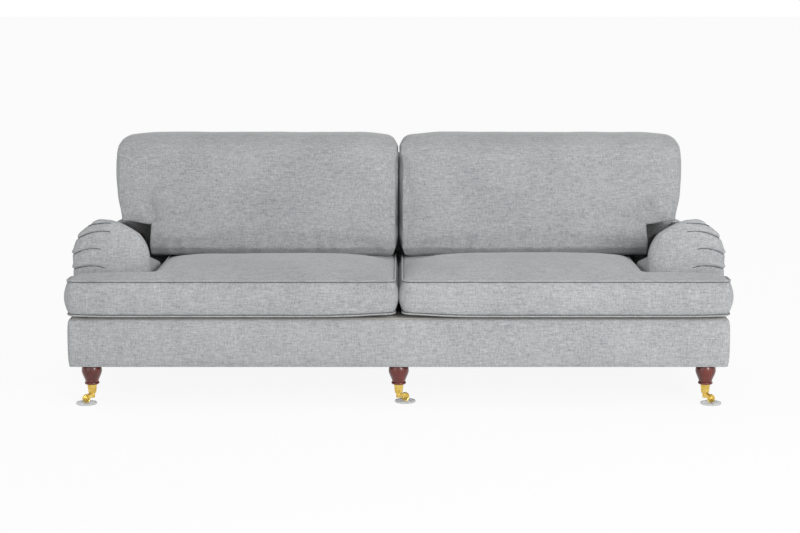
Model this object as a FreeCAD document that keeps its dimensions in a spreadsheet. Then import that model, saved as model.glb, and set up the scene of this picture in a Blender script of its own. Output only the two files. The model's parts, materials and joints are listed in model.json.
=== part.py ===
# English roll arm sofa, in millimetres.
# X runs to the right as you face the sofa, the seat faces -Y, Z is up.
# The origin lies on the floor, under the centre of the sofa's bounding box.
import FreeCAD, Part
import math
import os
import re
import Sketcher
from FreeCAD import Rotation, Vector

os.makedirs("parts", exist_ok=True)
doc = FreeCAD.newDocument("EnglishRollArmSofa")

# Driving dimensions. Half widths are measured from the centre plane, and fronts are distances ahead of it.
sizes = {
    # hardwood seat frame
    "frame_half_width": 1136,
    "frame_front": 462,
    "frame_back": 430,
    "frame_bottom": 139,
    "rail_top": 279,
    "rail_thickness": 25,
    "cross_rail_width": 90,
    "block_height": 50,
    "block_leg": 110,
    # arm frame
    "arm_post_width": 80,
    "arm_post_front": 300,
    "arm_board_thickness": 15,
    "arm_rail_inner": 980,
    "arm_rail_outer": 1070,
    "arm_rail_top": 585,
    "arm_slope": 0.155,
    # back frame
    "back_post_outer": 1040,
    "back_post_width": 35,
    "back_post_depth": 42,
    "back_post_foot": 365,
    "back_frame_top": 742,
    "top_rail_depth": 52,
    "lower_rail_bottom": 305,
    "lower_rail_height": 40,
    "lower_rail_thickness": 20,
    "tenon_length": 50,
    "tenon_height": 40,
    "tenon_thickness": 10,
    # webbing, deck, cloth and covers
    "strap_width": 60,
    "strap_thickness": 2,
    "outer_strap": 943,
    "front_strap": 200,
    "rear_strap": 280,
    "deck_top": 305,
    "cover_bottom": 134.5,
    "cloth_thickness": 1.5,
    "border_front": 472,
    "border_half_width": 1150,
    "border_corner": 16,
    "border_corner_bow": 1.4,
    "outer_back": 490,
    "outside_back_top": 775,
    "outside_back_thickness": 8,
    "outside_back_shoulder": 486,
    "outside_back_corner": 60,
    # padded arms
    "arm_outer": 1147,
    "arm_front": 345,
    "arm_inner_front": 877,
    "arm_splay": 4.8,
    "arm_full_front": 300,
    "arm_dome": 32,
    "arm_ridge": 628,
    "arm_ridge_inner": 1010,
    "arm_ridge_outer": 1050,
    # padded inside back
    "inside_back_front": 330,
    "inside_back_half_width": 1050,
    "inside_back_top": 787,
    # loose seat cushions
    "seat_half_width": 1161,
    "seat_front": 490,
    "seat_back": 316,
    "seat_bottom": 308,
    "seat_seam": 440,
    "seat_bulge": 13,
    "seat_crown": 45,
    "seat_end_crown": 16,
    "seat_fall": 22,
    "seat_rest_front": 100,
    "seat_belly": 3,
    "seat_ear_back": 346.5,
    "seat_between_arms": 872,
    "cushion_gap": 3,
    # loose back cushions
    "back_cushion_half_width": 1050,
    "back_cushion_bottom": 421,
    "back_cushion_top": 887,
    "back_cushion_thickness": 205,
    "back_cushion_crown": 20,
    "back_cushion_bulge": 9,
    "wing_inner": 906,
    "wing_bottom": 565,
    "wing_front": 120,
    # legs and castors
    "leg_spacing": 1072,
    "front_leg_front": 425,
    "rear_leg_back": 385,
    "leg_bottom": 67,
    "leg_radius": 35.5,
    "spigot_radius": 11.5,
    "spigot_length": 28,
    "rear_leg_top": 48,
    "rear_leg_foot": 36,
    "rear_leg_rake": 14,
    "plate_side": 60,
    "plate_thickness": 3,
    "socket_top_radius": 17,
    "socket_foot_radius": 13.5,
    "socket_height": 32,
    "boss_radius": 9.25,
    "boss_height": 15.7,
    "spindle_radius": 4,
    "castor_play": 0.3,
    "running_clearance": 0.05,
    "castor_trail": 26,
    "wheel_radius": 15,
    "wheel_width": 9,
    "wheel_height": 19,
    "axle_radius": 2,
    "cheek_thickness": 3,
    "cheek_radius": 5.6,
    "cup_radius": 36.5,
    "cup_recess_radius": 18,
    "cup_height": 6,
}
# Where each castor points at rest, in degrees about the leg, and the side its leg stands on.
castors = {"left": (-1, 225), "centre": (0, 30), "right": (1, -45)}

sheet = doc.addObject("Spreadsheet::Sheet", "Sizes")
for row, (alias, number) in enumerate(sizes.items(), 1):
    sheet.set(f"A{row}", alias)
    sheet.set(f"B{row}", str(number))
    sheet.setAlias(f"B{row}", alias)
doc.recompute()

parts = []


def formula(text):
    # A formula written with plain size names, in the form that a property is bound to.
    return re.sub(r"[a-z][a-z_]+", lambda word: "Sizes." + word[0] if word[0] in sizes else word[0], str(text))


def size(text):
    return float(sheet.evalExpression(formula(text)))


def keep(shape_object, label):
    shape_object.Label = label
    parts.append(shape_object)
    return shape_object


def place(shape_object, x=0, y=0, z=0):
    for axis, text in zip("xyz", (x, y, z)):
        shape_object.setExpression(f".Placement.Base.{axis}", formula(text))


def board(name, x, y, z):
    # A plain board between two formulas on each axis.
    box = doc.addObject("Part::Box", name)
    for side, (low, high) in zip(("Length", "Width", "Height"), (x, y, z)):
        box.setExpression(side, formula(f"({high}) - ({low})"))
    place(box, x[0], y[0], z[0])
    return box


def mirrored(side, low, high):
    # The two formulas of a span on the right side, or of its mirror image on the left.
    return (low, high) if side > 0 else (f"-({high})", f"-({low})")


def group(name, members):
    compound = doc.addObject("Part::Compound", name)
    compound.Links = members
    return compound


def cut(label, base, tool):
    result = doc.addObject("Part::Cut", label + "_cut")
    result.Base = base
    result.Tool = tool
    return keep(result, label)


def outline(body, name, role, path, offset="0"):
    # A closed outline on one of the body's planes. A point is a corner, and one marked "via" lies on the arc
    # between its neighbours.
    sketch = body.newObject("Sketcher::SketchObject", name)
    plane = next(feature for feature in body.Origin.OriginFeatures if feature.Role == role)
    sketch.AttachmentSupport = [(plane, "")]
    sketch.MapMode = "FlatFace"
    sketch.setExpression(".AttachmentOffset.Base.z", formula(offset))

    def pin(geometry, point, where):
        for kind, text in zip(("DistanceX", "DistanceY"), where):
            number = sketch.addConstraint(Sketcher.Constraint(kind, -1, 1, geometry, point, size(text)))
            sketch.setExpression(f"Constraints[{number}]", formula(text))

    corners = [index for index, point in enumerate(path) if point[0] != "via"]
    edges = []
    for index, following in zip(corners, corners[1:] + [len(path) + corners[0]]):
        spots = [path[k % len(path)] for k in range(index, following + 1)]
        ends = [Vector(size(spot[0]), size(spot[1]), 0) for spot in (spots[0], spots[-1])]
        if len(spots) == 2:
            edges.append(sketch.addGeometry(Part.LineSegment(*ends)))
        else:
            middle = Vector(size(spots[1][1]), size(spots[1][2]), 0)
            edges.append(sketch.addGeometry(Part.Arc(ends[0], middle, ends[1])))
    for index, edge in enumerate(edges):
        start = Vector(size(path[corners[index]][0]), size(path[corners[index]][1]), 0)
        # The solver turns every arc anticlockwise, so an arc's first end may be its second one here.
        first = 1 if sketch.getPoint(edge, 1).distanceToPoint(start) < 1e-6 else 2
        before = edges[index - 1]
        last = 1 if sketch.getPoint(before, 1).distanceToPoint(start) < 1e-6 else 2
        sketch.addConstraint(Sketcher.Constraint("Coincident", before, last, edge, first))
        pin(edge, first, path[corners[index]][:2])
    for index, corner in enumerate(corners):
        spot = path[(corner + 1) % len(path)]
        if spot[0] == "via":
            middle = sketch.addGeometry(Part.Point(Vector(size(spot[1]), size(spot[2]), 0)), True)
            pin(middle, 1, spot[1:])
            sketch.addConstraint(Sketcher.Constraint("PointOnObject", middle, 1, edges[index]))
    return sketch


def circle(body, name, role, radius, x="0", y="0", offset="0"):
    sketch = body.newObject("Sketcher::SketchObject", name)
    plane = next(feature for feature in body.Origin.OriginFeatures if feature.Role == role)
    sketch.AttachmentSupport = [(plane, "")]
    sketch.MapMode = "FlatFace"
    sketch.setExpression(".AttachmentOffset.Base.z", formula(offset))
    ring = sketch.addGeometry(Part.Circle(Vector(size(x), size(y), 0), Vector(0, 0, 1), size(radius)))
    for kind, text in (("DistanceX", x), ("DistanceY", y)):
        number = sketch.addConstraint(Sketcher.Constraint(kind, -1, 1, ring, 3, size(text)))
        sketch.setExpression(f"Constraints[{number}]", formula(text))
    number = sketch.addConstraint(Sketcher.Constraint("Radius", ring, size(radius)))
    sketch.setExpression(f"Constraints[{number}]", formula(radius))
    return sketch


def new_body(label):
    return doc.addObject("PartDesign::Body", label)


def pad(body, sketch, length, midplane=False):
    feature = body.newObject("PartDesign::Pad", "Pad")
    feature.Profile = sketch
    feature.SideType = "Symmetric" if midplane else "One side"
    feature.setExpression("Length", formula(length))
    return feature


def pocket(body, sketch, length):
    # Cuts the same way on both sides of the sketch, and checks that it took something away.
    doc.recompute()
    before = body.Shape.Volume
    feature = body.newObject("PartDesign::Pocket", "Pocket")
    feature.Profile = sketch
    feature.SideType = "Symmetric"
    feature.setExpression("Length", formula(length))
    doc.recompute()
    if not body.Shape.Volume < before - 1e-3:
        raise RuntimeError(f"{body.Name}: a pocket cuts nothing")
    return feature


def turn(body, sketch):
    feature = body.newObject("PartDesign::Revolution", "Revolution")
    feature.Profile = sketch
    feature.ReferenceAxis = (sketch, ["V_Axis"])
    feature.Angle = 360
    return feature


def repeat(body, features, role, length, count):
    doc.recompute()
    pattern = body.newObject("PartDesign::LinearPattern", "Pattern")
    pattern.Originals = features
    axis = next(line for line in body.Origin.OriginFeatures if line.Role == role)
    pattern.Direction = (axis, [""])
    pattern.setExpression("Length", formula(length))
    pattern.Occurrences = count
    body.Tip = pattern
    return pattern


# Seat frame: four rails on edge, a cross rail laid flat, and a triangular block in each corner
rail_inside = "frame_half_width - rail_thickness"
front_inside = "-frame_front + rail_thickness"
back_inside = "frame_back - rail_thickness"
block_top = "frame_bottom + block_height"
rails = {
    "front_seat_rail": board(
        "front_rail_blank", ("-frame_half_width", "frame_half_width"), ("-frame_front", front_inside),
        ("frame_bottom", "rail_top")),
    "back_seat_rail": board(
        "back_rail_blank", ("-frame_half_width", "frame_half_width"), (back_inside, "frame_back"),
        ("frame_bottom", "rail_top")),
    "centre_cross_rail": board(
        "cross_rail_blank", ("-cross_rail_width / 2", "cross_rail_width / 2"), (front_inside, back_inside),
        ("frame_bottom", block_top)),
}
sides = (("left", -1), ("right", 1))
for name, side in sides:
    rails[f"side_seat_rail_{name}"] = board(
        f"side_rail_blank_{name}", mirrored(side, rail_inside, "frame_half_width"), (front_inside, back_inside),
        ("frame_bottom", "rail_top + strap_thickness"))

blocks = []
corner_places = [("-", front_inside), ("", front_inside), ("", back_inside), ("-", back_inside)]
for quarter, (x_sign, y_edge) in enumerate(corner_places):
    block = doc.addObject("Part::Wedge", "corner_block")
    for edge in ("Xmin", "Ymin", "Zmin", "X2min", "Z2min", "X2max"):
        setattr(block, edge, 0)
    for edge in ("Xmax", "Ymax"):
        block.setExpression(edge, formula("block_leg"))
    for edge in ("Zmax", "Z2max"):
        block.setExpression(edge, formula("block_height"))
    block.Placement.Rotation = Rotation(Vector(0, 0, 1), 90 * quarter)
    place(block, f"{x_sign}({rail_inside})", y_edge, "frame_bottom")
    blocks.append(block)
keep(group("corner_block_set", blocks), "corner_blocks")

# A steel mounting plate under the frame at each leg
plates = []
for x in ("-leg_spacing", "0", "leg_spacing"):
    for y in ("-front_leg_front", "rear_leg_back"):
        plates.append(board(
            "leg_plate", (f"{x} - plate_side / 2", f"{x} + plate_side / 2"),
            (f"{y} - plate_side / 2", f"{y} + plate_side / 2"), ("cover_bottom", "cover_bottom + plate_thickness")))
keep(group("leg_plate_set", plates), "leg_plates")

# Back frame: three leaning posts that stand on the blocks and the cross rail, notched over the back seat rail
lean = "((outer_back - outside_back_thickness - frame_back) / (outside_back_top - rail_top))"


def back_line(height, ahead="0"):
    # Distance behind the centre plane of the leaning line along the posts' back edge.
    return f"frame_back - ({ahead}) + (({height}) - rail_top) * {lean}"


post_path = [
    ("back_post_foot", block_top),
    (back_inside, block_top),
    (back_inside, "rail_top"),
    ("frame_back", "rail_top"),
    (back_line("back_frame_top"), "back_frame_top"),
    (back_line("back_frame_top", "back_post_depth"), "back_frame_top"),
    (back_line("rail_top", "back_post_depth"), "rail_top"),
    ("back_post_foot", "rail_top - strap_width / 2"),
]
post_starts = {
    "left": "-back_post_outer",
    "centre": "-back_post_width / 2",
    "right": "back_post_outer - back_post_width",
}
back_posts = {}
for name, start in post_starts.items():
    body = new_body(f"back_post_blank_{name}")
    pad(body, outline(body, "Post", "YZ_Plane", post_path, start), "back_post_width")
    back_posts[name] = body

top_rail = board(
    "top_rail_blank", ("-back_post_outer", "back_post_outer"),
    (f"{back_line('back_frame_top')} - top_rail_depth", back_line("back_frame_top")),
    ("back_frame_top", "back_frame_top + rail_thickness"))
lower_rail_front = back_line("lower_rail_bottom + lower_rail_height", "back_post_depth")
lower_rails = [
    board(
        "lower_rail", mirrored(side, "back_post_width / 2", "back_post_outer - back_post_width"),
        (lower_rail_front, f"{lower_rail_front} + lower_rail_thickness"),
        ("lower_rail_bottom", "lower_rail_bottom + lower_rail_height"))
    for name, side in sides]

# Arm frames: a post on the side rail, a shaped board on its front, and a flat rail sloping back to the back post

def arm_rail_height(y, drop="0"):
    return f"arm_rail_top - ({drop}) - arm_slope * (({y}) + arm_post_front)"


def meets_back_post(drop):
    # Where the sloping line of the arm rail meets the front edge of the leaning back post.
    rise = f"(arm_rail_top - ({drop}) - arm_slope * arm_post_front - rail_top)"
    return f"(frame_back - back_post_depth + {rise} * {lean}) / (1 + arm_slope * {lean})"


arm_posts = {}
arm_rails = {}
arm_boards = {}
for name, side in sides:
    outer, inner = rail_inside, f"{rail_inside} - arm_post_width"
    post_back = "-arm_post_front + rail_thickness"
    body = new_body(f"front_arm_post_{name}")
    path = [
        ("-arm_post_front", "frame_bottom"),
        (post_back, "frame_bottom"),
        (post_back, arm_rail_height(post_back, "rail_thickness")),
        ("-arm_post_front", "arm_rail_top - rail_thickness"),
    ]
    pad(body, outline(body, "Post", "YZ_Plane", path, mirrored(side, inner, outer)[0]), "arm_post_width")
    arm_posts[name] = keep(body, f"front_arm_post_{name}")

    body = new_body(f"arm_rail_blank_{name}")
    top_end, low_end = meets_back_post("0"), meets_back_post("rail_thickness")
    path = [
        ("-arm_post_front", "arm_rail_top - rail_thickness"),
        (low_end, arm_rail_height(low_end, "rail_thickness")),
        (top_end, arm_rail_height(top_end)),
        ("-arm_post_front", "arm_rail_top"),
    ]
    start = mirrored(side, "arm_rail_inner", "arm_rail_outer")[0]
    pad(body, outline(body, "Rail", "YZ_Plane", path, start), "arm_rail_outer - arm_rail_inner")
    arm_rails[name] = body

    body = new_body(f"arm_board_{name}")
    sign = f"{side} * "
    path = [
        (sign + "(arm_outer - 25)", "deck_top"),
        (sign + "(arm_outer - 25)", "arm_ridge - 148"),
        ("via", sign + "(arm_outer - 47)", "arm_ridge - 72"),
        (sign + "(arm_outer - 105)", "arm_ridge - 33"),
        (sign + "(arm_inner_front + 65)", "arm_ridge - 60"),
        ("via", sign + "(arm_inner_front + 35)", "arm_ridge - 92"),
        (sign + "(arm_inner_front + 25)", "arm_ridge - 150"),
        (sign + "(arm_inner_front + 25)", "deck_top"),
    ]
    pad(body, outline(body, "Profile", "XZ_Plane", path, "arm_post_front"), "arm_board_thickness")
    arm_boards[name] = keep(body, f"arm_board_{name}")

# Loose tenons join the seat rails, and each rail is mortised by the same tenons
tenons = []
for y in (front_inside, back_inside):
    along_y = (f"{y} - tenon_length / 2", f"{y} + tenon_length / 2")
    low_edge = "rail_top - 90"
    for side in (-1, 1):
        middle = f"{side} * (frame_half_width - rail_thickness / 2)"
        tenons.append(board(
            "tenon", (f"{middle} - tenon_thickness / 2", f"{middle} + tenon_thickness / 2"), along_y,
            (low_edge, f"{low_edge} + tenon_height")))
    tenons.append(board(
        "tenon", ("-tenon_height / 2", "tenon_height / 2"), along_y,
        ("frame_bottom + 20", "frame_bottom + 20 + tenon_thickness")))
frame_tenons = keep(group("frame_tenons", tenons), "frame_tenons")
for label, blank in rails.items():
    rails[label] = cut(label, blank, frame_tenons)
for name in back_posts:
    keep(back_posts[name], f"back_post_{name}")
for name in arm_rails:
    keep(arm_rails[name], f"arm_rail_{name}")
keep(top_rail, "top_back_rail")
keep(group("lower_back_rails", lower_rails), "lower_back_rail")

# Webbing: straps over the seat rails both ways, and straps across the front edges of the back posts
body = new_body("seat_webbing_front_to_back")
strap_run = "outer_strap"
path = [
    (f"-{strap_run} - strap_width / 2", "-frame_front"),
    (f"-{strap_run} + strap_width / 2", "-frame_front"),
    (f"-{strap_run} + strap_width / 2", "frame_back"),
    (f"-{strap_run} - strap_width / 2", "frame_back"),
]
strap = pad(body, outline(body, "Strap", "XY_Plane", path, "rail_top"), "strap_thickness")
repeat(body, [strap], "X_Axis", f"2 * {strap_run}", 10)
keep(body, "seat_webbing_front_to_back")

body = new_body("seat_webbing_side_to_side")
path = [
    ("-frame_half_width", "-front_strap - strap_width / 2"),
    ("frame_half_width", "-front_strap - strap_width / 2"),
    ("frame_half_width", "-front_strap + strap_width / 2"),
    ("-frame_half_width", "-front_strap + strap_width / 2"),
]
strap = pad(body, outline(body, "Strap", "XY_Plane", path, "rail_top + strap_thickness"), "strap_thickness")
repeat(body, [strap], "Y_Axis", "front_strap + rear_strap", 4)
keep(body, "seat_webbing_side_to_side")

back_straps = []
strap_front = f"back_post_depth + strap_thickness / cos(atan({lean}))"
for height in (360, 505, 635):
    strap = board(
        "back_strap", ("-back_post_outer", "back_post_outer"), ("0", "strap_thickness"), ("0", "strap_width - 10"))
    strap.Placement.Rotation = Rotation(Vector(1, 0, 0), -math.degrees(math.atan(size(lean))))
    place(strap, "-back_post_outer", back_line(height, strap_front), height)
    back_straps.append(strap)
keep(group("back_webbing_straps", back_straps), "back_webbing")

# Deck of felt and cloth over the seat webbing, fitted round the posts
deck_blank = board(
    "deck_blank", ("-frame_half_width", "frame_half_width"),
    (front_inside, back_line("rail_top", "back_post_depth")), ("rail_top + 2 * strap_thickness", "deck_top"))
cut("seat_deck", deck_blank, group("deck_tools", [*arm_posts.values(), *back_posts.values()]))

# Cloth under the frame
dust_cloth = board(
    "dust_cloth", ("-frame_half_width", "frame_half_width"), ("-frame_front", "frame_back"),
    ("frame_bottom - cloth_thickness", "frame_bottom"))
keep(dust_cloth, "dust_cover")

# Outside back: a thin panel that follows the posts, wide behind the arms and narrower above them
panel = new_body("outside_back_panel")
path = [
    ("frame_back", "cover_bottom"),
    ("frame_back + outside_back_thickness", "cover_bottom"),
    ("frame_back + outside_back_thickness", "rail_top"),
    ("outer_back", "outside_back_top"),
    ("outer_back - outside_back_thickness", "outside_back_top"),
    ("frame_back", "rail_top"),
]
pad(panel, outline(panel, "Panel", "YZ_Plane", path, "-frame_half_width"), "2 * frame_half_width")
shape = new_body("outside_back_shape")
edge = "(inside_back_half_width - 8)"
right_path = [
    ("frame_half_width", "cover_bottom"),
    ("frame_half_width", "outside_back_shoulder - 20"),
    ("via", "frame_half_width - 22", "outside_back_shoulder + 12"),
    (edge, "outside_back_shoulder + 46"),
    (edge, "outside_back_top - outside_back_corner"),
    ("via", f"{edge} - 0.293 * outside_back_corner", "outside_back_top - 0.293 * outside_back_corner"),
    (f"{edge} - outside_back_corner", "outside_back_top"),
]
left_path = [(*point[:-2], f"-({point[-2]})", point[-1]) for point in reversed(right_path)]
pad(shape, outline(shape, "Shape", "XZ_Plane", right_path + left_path, "-outer_back"), "outer_back")
outside_back = doc.addObject("Part::Common", "outside_back_common")
outside_back.Base = panel
outside_back.Tool = shape
keep(outside_back, "outside_back")


def bowed(start, end, bow):
    # An arc whose middle stands off its chord by the vector bow.
    return Part.Arc(start, (start + end) / 2 + bow, end).toShape()


def line(start, end):
    return Part.LineSegment(start, end).toShape()


def soft(name, shape):
    feature = doc.addObject("Part::Feature", name)
    feature.Shape = shape
    return feature


# Padded base: a border along the front, rolled over the front rail, and a cover on each side
def base_section(z, inset):
    half_width, front = size("border_half_width") - inset, -size("border_front") + inset
    back, corner = size("frame_back + outside_back_thickness"), size("border_corner")
    bow = size("border_corner_bow")

    def at(x, y):
        return Vector(x, y, z)

    left, right = at(-half_width + corner, front), at(half_width - corner, front)
    left_side, right_side = at(-half_width, front + corner), at(half_width, front + corner)
    back_left, back_right = at(-half_width, back), at(half_width, back)
    return Part.Wire([
        line(back_left, left_side),
        bowed(left_side, left, Vector(-bow, -bow, 0)),
        line(left, right),
        bowed(right, right_side, Vector(bow, -bow, 0)),
        line(right_side, back_right),
        line(back_right, back_left),
    ])


low, high = size("cover_bottom"), size("deck_top")
# height, and how far the cover stands in from its fullest line there
swell = [(low, 11), (low + 8, 6), (low + 45, 1), ((low + high) / 2, 0), (high - 35, 2), (high - 9, 7), (high, 15)]
base_form = soft("base_form", Part.makeLoft([base_section(*level) for level in swell], True, True))
frame_space = group("base_space", [
    board("rail_space", ("-frame_half_width", "frame_half_width"), ("-frame_front", "outer_back"),
          ("0", "rail_top + 2 * strap_thickness")),
    board("deck_space", ("-frame_half_width", "frame_half_width"), (front_inside, "outer_back"), ("0", "2 * deck_top")),
])
base_ring = doc.addObject("Part::Cut", "base_ring")
base_ring.Base = base_form
base_ring.Tool = frame_space
reach = "border_half_width + 50"
for label, across, along in (
        ("front_border", (f"-({reach})", reach), ("-outer_back", front_inside)),
        ("side_cover_left", (f"-({reach})", "0"), (front_inside, "outer_back")),
        ("side_cover_right", ("0", reach), (front_inside, "outer_back"))):
    piece = doc.addObject("Part::Common", label + "_common")
    piece.Base = base_ring
    piece.Tool = board(label + "_extent", across, along, ("0", "2 * deck_top"))
    keep(piece, label)

# The space that the back frame and its straps take up inside the padding
back_space = new_body("back_space")
path = [
    (back_line("deck_top", strap_front), "deck_top"),
    ("outer_back", "deck_top"),
    ("outer_back", "back_frame_top + rail_thickness"),
    (f"{back_line('back_frame_top')} - top_rail_depth", "back_frame_top + rail_thickness"),
    (f"{back_line('back_frame_top')} - top_rail_depth", "back_frame_top"),
    (back_line("back_frame_top", strap_front), "back_frame_top"),
]
pad(back_space, outline(back_space, "Space", "YZ_Plane", path, "-back_post_outer"), "2 * back_post_outer")


# Padded arms: a roll that falls and narrows towards the back, behind a front that is rounded both ways
def roll_half(name, path, x, splay):
    # A profile measured from the ridge, run square to itself down the slope of the arm.
    body = new_body(name)
    fall = math.degrees(math.atan(size("arm_slope")))
    body.Placement.Rotation = Rotation(Vector(1, 0, 0), -fall) * Rotation(Vector(0, 0, 1), -splay)
    place(body, x, "-arm_full_front", "arm_ridge")
    pad(body, outline(body, "Profile", "XZ_Plane", path), "2 * (arm_full_front + outer_back)", midplane=True)
    return body


def arm_filling(side, label):
    def across(text):
        return f"{side} * ({text})"

    far_inside, far_outside, far_below = "arm_inner_front - 100", "arm_outer + 100", "deck_top - 50"
    below = "deck_top - 2 * arm_ridge"
    outer_half = roll_half(f"{label}_outer_half", [
        (across("0"), below),
        (across("0"), "-145"),
        ("via", across("-24"), "-52"),
        (across("arm_ridge_outer - arm_outer"), "0"),
        (across("-400"), "0"),
        (across("-400"), below),
    ], across("arm_outer"), 0)
    inner_half = roll_half(f"{label}_inner_half", [
        (across("400"), below),
        (across("400"), "0"),
        (across("arm_ridge_inner - arm_inner_front"), "0"),
        ("via", across("82"), "-20"),
        (across("34"), "-49"),
        ("via", across("8"), "-92"),
        (across("0"), "-148"),
        (across("0"), below),
    ], across("arm_inner_front"), side * size("arm_splay"))
    plan = new_body(f"{label}_plan")
    full_width = "-arm_front + arm_dome"
    pad(plan, outline(plan, "Plan", "XY_Plane", [
        (across(far_inside), "outer_back"),
        (across(far_inside), "-arm_front + 3.1 * arm_dome"),
        (across("arm_inner_front"), full_width),
        ("via", across("(arm_inner_front + arm_outer) / 2"), "-arm_front"),
        (across("arm_outer"), full_width),
        (across(far_outside), "-arm_front + 3.1 * arm_dome"),
        (across(far_outside), "outer_back"),
    ], "deck_top"), "arm_ridge")
    profile = new_body(f"{label}_side")
    pad(profile, outline(profile, "Side", "YZ_Plane", [
        ("-arm_front", far_below),
        ("-arm_front", "arm_ridge - 140"),
        ("via", "-arm_front + 13", "arm_ridge - 48"),
        ("-arm_full_front + 12", "arm_ridge + 8"),
        (back_line("arm_ridge + 8"), "arm_ridge + 8"),
        (back_line(far_below), far_below),
    ], mirrored(side, far_inside, far_outside)[0]), "arm_outer - arm_inner_front + 200")
    filling = doc.addObject("Part::MultiCommon", f"{label}_filling")
    filling.Shapes = [outer_half, inner_half, plan, profile]
    return filling


arm_paddings = {}
for name, side in sides:
    frame = group(f"arm_frame_{name}", [arm_posts[name], arm_boards[name], arm_rails[name]])
    clear = doc.addObject("Part::Cut", f"arm_clear_{name}")
    clear.Base = arm_filling(side, f"arm_{name}")
    clear.Tool = back_space
    arm_paddings[name] = cut(f"arm_padding_{name}", clear, frame)

# Padded inside back, rolled over the top rail and round the outer posts, and fitted between the arms
inside_back = new_body("inside_back_filling")
front_high = f"inside_back_front + (back_frame_top - deck_top) * {lean}"
path = [
    ("inside_back_front", "deck_top"),
    (front_high, "back_frame_top"),
    ("via", f"{front_high} + 13", "inside_back_top - 13"),
    (f"{front_high} + 45", "inside_back_top"),
    (f"{back_line('outside_back_top')} - 10", "inside_back_top"),
    (back_line("outside_back_top"), "outside_back_top"),
    (back_line("deck_top"), "deck_top"),
]
half = "inside_back_half_width"
pad(inside_back, outline(inside_back, "Padding", "YZ_Plane", path, f"-{half}"), f"2 * {half}")
hollow_back = doc.addObject("Part::Cut", "hollow_back")
hollow_back.Base = inside_back
hollow_back.Tool = back_space
cut("back_padding", hollow_back, group("arm_tools", [*arm_paddings.values(), *arm_rails.values()]))


# Seat cushions: bulged boxing all round, a crown on top that falls to where the back cushion rests, and an ear
# in front of the arm
def seat_section(side, x, inset, crown):
    bulge = size("seat_bulge")
    front, back = -size("seat_front") + bulge + inset, size("seat_back") - bulge - inset
    low, high = size("seat_bottom") + size("seat_belly") + inset, size("seat_seam") - inset
    rest, rest_high = size("seat_rest_front"), high - size("seat_fall")
    bulge *= (high - low) / size("seat_seam - seat_bottom - seat_belly")

    def at(y, z):
        return Vector(side * x, y, z)

    out, up = Vector(0, bulge, 0), Vector(0, 0, 1)
    return Part.Wire([
        bowed(at(front, low), at(front, high), -out),
        bowed(at(front, high), at(rest, rest_high), up * crown),
        line(at(rest, rest_high), at(back, rest_high)),
        bowed(at(back, rest_high), at(back, low), out),
        bowed(at(back, low), at(front, low), -up * size("seat_belly")),
    ])


def seat_notch(side):
    # The space behind the ear, with sides drawn in a little between its corners.
    x_arm, x_far = side * size("seat_between_arms"), side * (size("seat_half_width") + 20)
    y_ear, y_far = -size("seat_ear_back"), size("seat_back") + 20
    floor = size("seat_bottom") - 20
    corner, behind = Vector(x_arm, y_ear, floor), Vector(x_arm, y_far, floor)
    outside, far = Vector(x_far, y_ear, floor), Vector(x_far, y_far, floor)
    wire = Part.Wire([
        bowed(corner, behind, Vector(-side * 5, 0, 0)), line(behind, far), line(far, outside),
        bowed(outside, corner, Vector(0, -3, 0)),
    ])
    return Part.Face(wire).extrude(Vector(0, 0, size("seat_crown + seat_seam - seat_bottom") + 40))


seat_inner, seat_outer = size("cushion_gap"), size("seat_half_width")
seat_steps = 8
for name, side in sides:
    sections = [seat_section(side, seat_inner, 34, 3), seat_section(side, seat_inner + 8, 12, 7)]
    run = seat_outer - seat_inner - 44
    for step in range(seat_steps + 1):
        rise = size("seat_crown - seat_end_crown") * math.sin(math.pi * step / seat_steps)
        crown = size("seat_end_crown") + rise
        sections.append(seat_section(side, seat_inner + 22 + run * step / seat_steps, 0, crown))
    sections += [seat_section(side, seat_outer - 8, 12, 7), seat_section(side, seat_outer, 34, 3)]
    blank = soft(f"seat_cushion_blank_{name}", Part.makeLoft(sections, True, True))
    notch = soft(f"seat_notch_{name}", seat_notch(side))
    cut(f"seat_cushion_{name}", blank, notch)


# Back cushions: a crowned front, bulged sides and a rounded top, leaning on the inside back, with a wing over
# the arm
def back_section(side, z, inset, thinner):
    bulge = size("back_cushion_bulge")
    inner, outer = size("cushion_gap") + inset, size("back_cushion_half_width") - bulge - inset
    # The inside back stays clear, and most of what the cushion loses in thickness it loses at its front.
    behind = size("inside_back_front") + (z - size("deck_top")) * size(lean) - 1 - 0.25 * max(thinner, 0)
    ahead = behind - size("back_cushion_thickness") + thinner
    crown = size("back_cushion_crown") * (1 - thinner / 160)

    def at(x, y):
        return Vector(side * x, y, z)

    return Part.Wire([
        bowed(at(inner, ahead), at(outer, ahead), Vector(0, -crown, 0)),
        bowed(at(outer, ahead), at(outer, behind), Vector(side * bulge, 0, 0)),
        line(at(outer, behind), at(inner, behind)),
        bowed(at(inner, behind), at(inner, ahead), Vector(-side, 0, 0)),
    ])


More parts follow.
